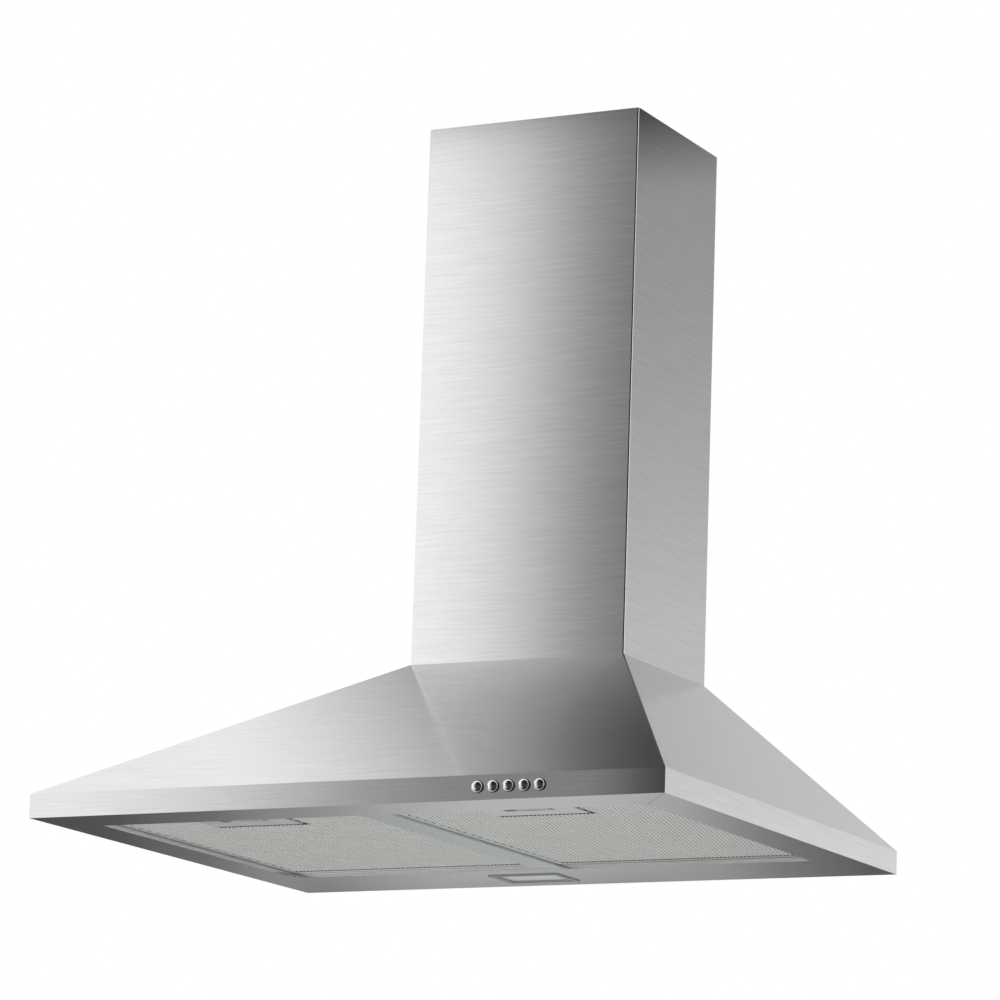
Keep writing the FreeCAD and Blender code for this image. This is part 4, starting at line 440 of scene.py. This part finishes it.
def expanded_metal(name, finish):
    """A tree that repeats one crossing of two strands over a rectangle, with a notch for the latch plate."""
    tree = bpy.data.node_groups.new(name, "GeometryNodeTree")
    socket = tree.interface.new_socket
    socket("Crossing", in_out="INPUT", socket_type="NodeSocketGeometry")
    for words, kind in (("Width", "Float"), ("Depth", "Float"), ("Columns", "Int"), ("Rows", "Int"),
                        ("Notch half", "Float"), ("Notch depth", "Float"), ("Place", "Vector")):
        socket(words, in_out="INPUT", socket_type=f"NodeSocket{kind}")
    socket("Geometry", in_out="OUTPUT", socket_type="NodeSocketGeometry")
    add, join = tree.nodes.new, tree.links.new
    given = add("NodeGroupInput").outputs

    def number(operation, *terms):
        made = add("ShaderNodeMath")
        made.operation = operation
        for slot, term in zip(made.inputs, terms):
            feed(tree, slot, term)
        return made.outputs[0]

    grid = add("GeometryNodeMeshGrid")
    for slot, words in (("Size X", "Width"), ("Size Y", "Depth"),
                        ("Vertices X", "Columns"), ("Vertices Y", "Rows")):
        join(given[words], grid.inputs[slot])
    spot = add("ShaderNodeSeparateXYZ")
    join(add("GeometryNodeInputPosition").outputs[0], spot.inputs[0])
    from_front = number("MULTIPLY_ADD", given["Depth"], 0.5, spot.outputs["Y"])
    in_width = number("LESS_THAN", number("ABSOLUTE", spot.outputs["X"]), given["Notch half"])
    in_depth = number("LESS_THAN", from_front, given["Notch depth"])
    in_notch = number("MULTIPLY", in_width, in_depth)
    drop = add("GeometryNodeDeleteGeometry")
    drop.domain = "POINT"
    join(grid.outputs["Mesh"], drop.inputs["Geometry"])
    join(in_notch, drop.inputs["Selection"])
    spread = add("GeometryNodeInstanceOnPoints")
    join(drop.outputs[0], spread.inputs["Points"])
    join(given["Crossing"], spread.inputs["Instance"])
    real = add("GeometryNodeRealizeInstances")
    join(spread.outputs[0], real.inputs[0])
    shift = add("GeometryNodeTransform")
    join(real.outputs[0], shift.inputs["Geometry"])
    join(given["Place"], shift.inputs["Translation"])
    coat = add("GeometryNodeSetMaterial")
    join(shift.outputs[0], coat.inputs["Geometry"])
    coat.inputs["Material"].default_value = finish.material
    join(coat.outputs[0], add("NodeGroupOutput").inputs[0])
    return tree


def grown(seed, tree, **inputs):
    """The plain mesh that a node tree makes from a seed object, which keeps its name and loses the tree."""
    made = seed.modifiers.new("grow", "NODES")
    made.node_group = tree
    for item in tree.interface.items_tree:
        if item.in_out == "INPUT" and item.name.replace(" ", "_") in inputs:
            made[item.identifier] = inputs[item.name.replace(" ", "_")]
    seed.update_tag()
    result = bpy.data.meshes.new_from_object(seed.evaluated_get(bpy.context.evaluated_depsgraph_get()))
    seed.modifiers.remove(made)
    seed.data = result
    return seed


def crossing(name):
    """Two flat strands that cross on the diagonals of one mesh."""
    corners, faces = [], []
    for way in (1, -1):
        run = Vector((MESH_PITCH_X / 2, way * MESH_PITCH_Y / 2, 0))
        side = Vector((-run.y, run.x, 0)).normalized() * (STRAND_WIDTH / 2)
        first = len(corners)
        lift = STRAND_LIFT * way
        for end in (-run, run):
            for offset in (-side, side):
                for height in (-STRAND_DEPTH / 2, STRAND_DEPTH / 2):
                    corners.append(end + offset + Vector((0, 0, height + lift)))
        faces += [[first + i for i in ring] for ring in
                  ((0, 4, 5, 1), (4, 6, 7, 5), (6, 2, 3, 7), (2, 0, 1, 3), (0, 2, 6, 4), (1, 5, 7, 3))]
    made = mesh_piece(name, corners, faces)
    shape = bmesh.new()
    shape.from_mesh(made.data)
    bmesh.ops.recalc_face_normals(shape, faces=shape.faces)
    shape.to_mesh(made.data)
    shape.free()
    return made


screen_tree = expanded_metal("expanded_metal", strand_metal)
for side in FILTER_SIDES:
    plate_low, plate_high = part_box(f"latch_plate_{side}")
    sheet_low, sheet_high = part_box(f"filter_screen_{side}")
    tuck = FRAME_BORDER - FRAME_OVERLAP
    columns = int((sheet_high.x - sheet_low.x - 2 * tuck) / MESH_PITCH_X)
    rows = int((sheet_high.y - sheet_low.y - 2 * tuck) / MESH_PITCH_Y)
    depth = (rows - 1) * MESH_PITCH_Y
    middle_y = (sheet_low.y + sheet_high.y) / 2
    front_row = middle_y - depth / 2
    screen = grown(
        crossing(f"screen_{side}"), screen_tree, Width=(columns - 1) * MESH_PITCH_X, Depth=depth,
        Columns=columns, Rows=rows, Notch_half=(plate_high.x - plate_low.x) / 2 + MESH_PITCH_X / 2,
        Notch_depth=plate_high.y - front_row + MESH_PITCH_Y / 2,
        Place=((sheet_low.x + sheet_high.x) / 2, middle_y, (sheet_low.z + sheet_high.z) / 2))
    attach(screen, f"filter_{side}")
    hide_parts(f"filter_screen_{side}")

latch_grey = Finish("latch_grey", Roughness=0.45)
grit = latch_grey.noise((900, 900, 900), 2.0)
latch_grey.set(Base_Color=latch_grey.mix(grit, (0.76, 0.77, 0.76), (0.84, 0.85, 0.84)))
latch_grey.bump(grit, 0.15, 0.0001)
wire_steel = Finish("wire_steel", Metallic=1.0)
drawn = wire_steel.noise((1200, 60, 1200), 3.0)
wire_steel.set(
    Base_Color=wire_steel.mix(drawn, (0.5, 0.5, 0.5), (0.72, 0.72, 0.71)),
    Roughness=0.22 + 0.15 * drawn,
)
for side in FILTER_SIDES:
    paint(f"filter_latch_{side}", latch_grey)
    soften(f"filter_latch_{side}", 0.0003, 2)
    paint(f"latch_spring_{side}", wire_steel)

# ---- Push buttons and switch -----------------------------------------------------------------------------
# Five turned, polished and chromed caps stand out of the rim: off, three speeds and the lamp. Each has its
# mark filled with black and presses on a spring in a black moulded switch behind the rim.

# sizes of a cap in mm; depths run back from the middle of its face
MILLI = 0.001
CAP_RADIUS, CROWN_RADIUS, CAP_LIP, CAP_EDGE, CAP_BACK = 4.9, 6.4, 0.3, 0.1, 7.0
STEM_RADIUS, STEM_END = 2.8, 22.5
FACE_RADII, FACE_SETBACK = (0.0, 0.6, 1.2, 1.8, 2.4, 3.0, 3.6, 4.1, 4.5), 0.05
MARKS = ("0", "1", "2", "3", "lamp")
MARK_DEPTH, MARK_SETBACK = 0.1, 0.06
SUN_RADIUS, SUN_REACH, RAY_LENGTH, RAY_WIDTH, RAY_COUNT = 0.95, 1.75, 0.8, 0.3, 8
DIGIT_HEIGHT, DIGIT_WEIGHT = 4.6, 0.12

chrome = Finish("polished_chrome", Metallic=1.0)
haze = chrome.noise((260, 260, 260), 4.0)
chrome.set(Base_Color=chrome.mix(haze, (0.84, 0.85, 0.86), (0.92, 0.92, 0.92)), Roughness=0.03 + 0.05 * haze)
chrome.bump(haze, 0.02, 0.0002)
mark_paint = Finish("mark_paint", Roughness=0.5)
speck = mark_paint.noise((2000, 2000, 2000), 2.0)
mark_paint.set(Base_Color=mark_paint.mix(speck, (0.02, 0.02, 0.02), (0.05, 0.05, 0.05)))


def crown(radius):
    """How deep the domed face of a cap lies behind its middle, in mm."""
    return CROWN_RADIUS - math.sqrt(CROWN_RADIUS ** 2 - radius ** 2)


def turned(name, profile, spot, segments=48):
    """A cap turned about the line that runs from spot to the wall; profile is (radius, depth) in mm."""
    rings, faces = [], []
    for radius, depth in profile:
        for step in range(segments):
            angle = 2 * math.pi * step / segments
            rings.append(spot + MILLI * Vector((radius * math.cos(angle), depth, radius * math.sin(angle))))
    for ring in range(len(profile) - 1):
        for step in range(segments):
            one, two = ring * segments + step, ring * segments + (step + 1) % segments
            faces.append((one, two, two + segments, one + segments))
    made = mesh_piece(name, rings, faces)
    shape = bmesh.new()
    shape.from_mesh(made.data)
    bmesh.ops.remove_doubles(shape, verts=shape.verts, dist=1e-6)
    bmesh.ops.recalc_face_normals(shape, faces=shape.faces)
    for face in shape.faces:
        face.smooth = True
    shape.to_mesh(made.data)
    shape.free()
    made.data.set_sharp_from_angle(angle=math.radians(35))
    return made


def face_mark(name, sign, spot):
    """A filled digit, or a small sun for the lamp, on a cap's face; spot is the middle of the face."""
    if sign == "lamp":
        shape = bmesh.new()
        radius, depth = SUN_RADIUS * MILLI, MARK_DEPTH * MILLI
        bmesh.ops.create_cone(shape, cap_ends=True, segments=20, radius1=radius, radius2=radius, depth=depth)
        ray_size = Matrix.Diagonal((RAY_LENGTH * MILLI, RAY_WIDTH * MILLI, depth, 1))
        for ray in range(RAY_COUNT):
            turn = Matrix.Rotation(2 * math.pi * ray / RAY_COUNT, 4, "Z")
            place = turn @ Matrix.Translation((SUN_REACH * MILLI, 0, 0))
            bmesh.ops.create_cube(shape, size=1.0, matrix=place @ ray_size)
        mesh = bpy.data.meshes.new(name)
        shape.to_mesh(mesh)
        shape.free()
    else:
        words = bpy.data.curves.new(name, "FONT")
        words.body, words.size, words.extrude = sign, DIGIT_HEIGHT * MILLI, MARK_DEPTH / 2 * MILLI
        words.align_x, words.align_y, words.offset = "CENTER", "CENTER", DIGIT_WEIGHT * MILLI
        holder = bpy.data.objects.new(name, words)
        bpy.context.scene.collection.objects.link(holder)
        mesh = bpy.data.meshes.new_from_object(holder.evaluated_get(bpy.context.evaluated_depsgraph_get()))
        bpy.data.objects.remove(holder)
    for corner in mesh.vertices:
        corner.co.z -= MILLI * crown(corner.co.xy.length / MILLI)
    mesh.transform(Matrix.Translation(spot) @ Matrix.Rotation(math.pi / 2, 4, "X"))
    made = bpy.data.objects.new(name, mesh)
    bpy.context.scene.collection.objects.link(made)
    return made


CAP_DOME = tuple((radius, FACE_SETBACK + crown(radius)) for radius in FACE_RADII)
CAP_DOME += ((CAP_RADIUS - CAP_EDGE, crown(CAP_RADIUS)), (CAP_RADIUS, crown(CAP_RADIUS) + CAP_LIP))
CAP_STEM = ((CAP_RADIUS, CAP_BACK), (STEM_RADIUS, CAP_BACK), (STEM_RADIUS, STEM_END), (0.0, STEM_END))
for number, sign in enumerate(MARKS, start=1):
    low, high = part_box(f"button_{number}")
    spot = Vector(((low.x + high.x) / 2, low.y, (low.z + high.z) / 2))
    cap = turned(f"cap_{number}", CAP_DOME + CAP_STEM, spot)
    cap.data.materials.append(chrome.material)
    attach(cap, f"push_button_{number}")
    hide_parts(f"button_{number}")
    mark = face_mark(f"cap_mark_{number}", sign, spot + Vector((0, MARK_SETBACK * MILLI, 0)))
    mark.data.materials.clear()
    mark.data.materials.append(mark_paint.material)
    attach(mark, f"push_button_{number}")
    paint(f"button_spring_{number}", wire_steel)


def moulded(name, dark, light, rough, grain=700):
    """Moulded plastic or rubber with a fine spark-eroded grain."""
    made = Finish(name)
    grit, cloud = made.noise((grain, grain, grain), 2.0), made.noise((25, 25, 25), 3.0)
    made.set(
        Base_Color=made.mix((0.5 * grit + 0.5 * cloud).clamp(), dark, light),
        Roughness=rough + 0.12 * cloud,
    )
    made.bump(grit, 0.12, 0.0001)
    return made


black_plastic = moulded("black_plastic", (0.012, 0.012, 0.013), (0.035, 0.035, 0.037), 0.42)
for part in ("switch_body", "terminal_cover"):
    paint(part, black_plastic)
    soften(part, 0.0006)

# ---- Lamp ------------------------------------------------------------------------------------------------
# A shallow moulded frame clips into the lamp panel and holds a frosted lens with fine prisms. The white cup
# above it carries the board with the LEDs.

bezel_grey = moulded("bezel_grey", (0.24, 0.25, 0.25), (0.33, 0.34, 0.34), 0.30, 500)
paint("lamp_bezel", bezel_grey)
soften("lamp_bezel", 0.0007)
lens_frost = Finish("lens_frost", Roughness=0.38, Transmission_Weight=0.25, IOR=1.49)
x, y, _ = lens_frost.axes()
PRISM_PITCH = 0.0025
across, along = ((place * (2 * math.pi / PRISM_PITCH)).math("SINE") for place in (x, y))
prisms = (across + along) * 0.25 + 0.5
lens_frost.set(Base_Color=lens_frost.mix(prisms, (0.84, 0.85, 0.76), (0.94, 0.94, 0.87)))
lens_frost.bump(prisms, 0.25, 0.0003)
paint("lamp_lens", lens_frost)
cup_white = moulded("cup_white", (0.70, 0.70, 0.68), (0.80, 0.80, 0.78), 0.5)
for part in ("lamp_box", "led_board"):
    paint(part, cup_white)
    soften(part, 0.0005, 2)

# ---- Blower ----------------------------------------------------------------------------------------------
# Two moulded scroll halves hold a double-inlet wheel on the motor's shaft; a spider carries the motor on the
# right. The outlet on top is a moulded spigot whose two damper flaps swing on one steel pin.

scroll_black = moulded("scroll_black", (0.020, 0.020, 0.022), (0.05, 0.05, 0.052), 0.45)
wheel_grey = moulded("wheel_grey", (0.06, 0.06, 0.065), (0.11, 0.11, 0.115), 0.40)
duct_black = moulded("duct_black", (0.015, 0.015, 0.016), (0.04, 0.04, 0.042), 0.38)
for part, finish in (("fan_scroll_left", scroll_black), ("fan_scroll_right", scroll_black),
                     ("fan_wheel", wheel_grey), ("duct_spigot", duct_black),
                     ("damper_flap_front", duct_black), ("damper_flap_rear", duct_black)):
    paint(part, finish)
    soften(part, 0.0003, 2)

plate_zinc = Finish("plated_steel", Metallic=1.0)
cloud = plate_zinc.noise((60, 60, 60), 4.0)
plate_zinc.set(
    Base_Color=plate_zinc.mix(cloud, (0.42, 0.43, 0.44), (0.60, 0.61, 0.62)),
    Roughness=0.28 + 0.2 * cloud,
)
lamination = Finish("laminated_iron", Metallic=0.8)
SHEET_PITCH = 0.0005
sheets = (lamination.axes()[0] * (2 * math.pi / SHEET_PITCH)).math("SINE") * 0.5 + 0.5
lamination.set(
    Base_Color=lamination.mix(sheets, (0.10, 0.10, 0.11), (0.24, 0.24, 0.25)),
    Roughness=0.4 + 0.2 * sheets,
)
lamination.bump(sheets, 0.3, 0.0001)
bronze = Finish("bush_bronze", Metallic=1.0)
pores = bronze.noise((3000, 3000, 3000), 2.0)
bronze.set(
    Base_Color=bronze.mix(pores, (0.36, 0.24, 0.12), (0.56, 0.40, 0.22)),
    Roughness=0.35 + 0.15 * pores,
)
for part, finish in (("motor_can", plate_zinc), ("motor_stator", lamination), ("motor_rotor", lamination),
                     ("motor_bushes", bronze), ("motor_shaft", wire_steel), ("damper_pin", wire_steel)):
    paint(part, finish)

# ---- Screws ----------------------------------------------------------------------------------------------
# Zinc-plated screws. They hold the inner chimney to its bracket, and the blower, the motor's spider and the
# switch to what carries them.

for part in ("bracket_screws", "blower_screws", "motor_screws", "switch_screws"):
    paint(part, plate_zinc)
    soften(part, 0.0003, 2)

# ---- Electrics -------------------------------------------------------------------------------------------
# A moulded terminal box on the back panel takes the sleeved leads of the switch, the lamp and the motor. The
# supply's inlet is a rubber grommet in the panel.

box_grey = moulded("box_grey", (0.44, 0.44, 0.42), (0.54, 0.54, 0.52), 0.5)
terminal_white = moulded("terminal_white", (0.68, 0.68, 0.64), (0.80, 0.80, 0.76), 0.4)
rubber = moulded("sleeve_rubber", (0.010, 0.010, 0.010), (0.028, 0.028, 0.028), 0.6, 1200)
for part, finish in (("terminal_box", box_grey), ("terminal_block", terminal_white),
                     ("motor_capacitor", terminal_white), ("cable_grommet", rubber), ("wiring_loom", rubber)):
    paint(part, finish)
soften("terminal_box", 0.0006, 2)
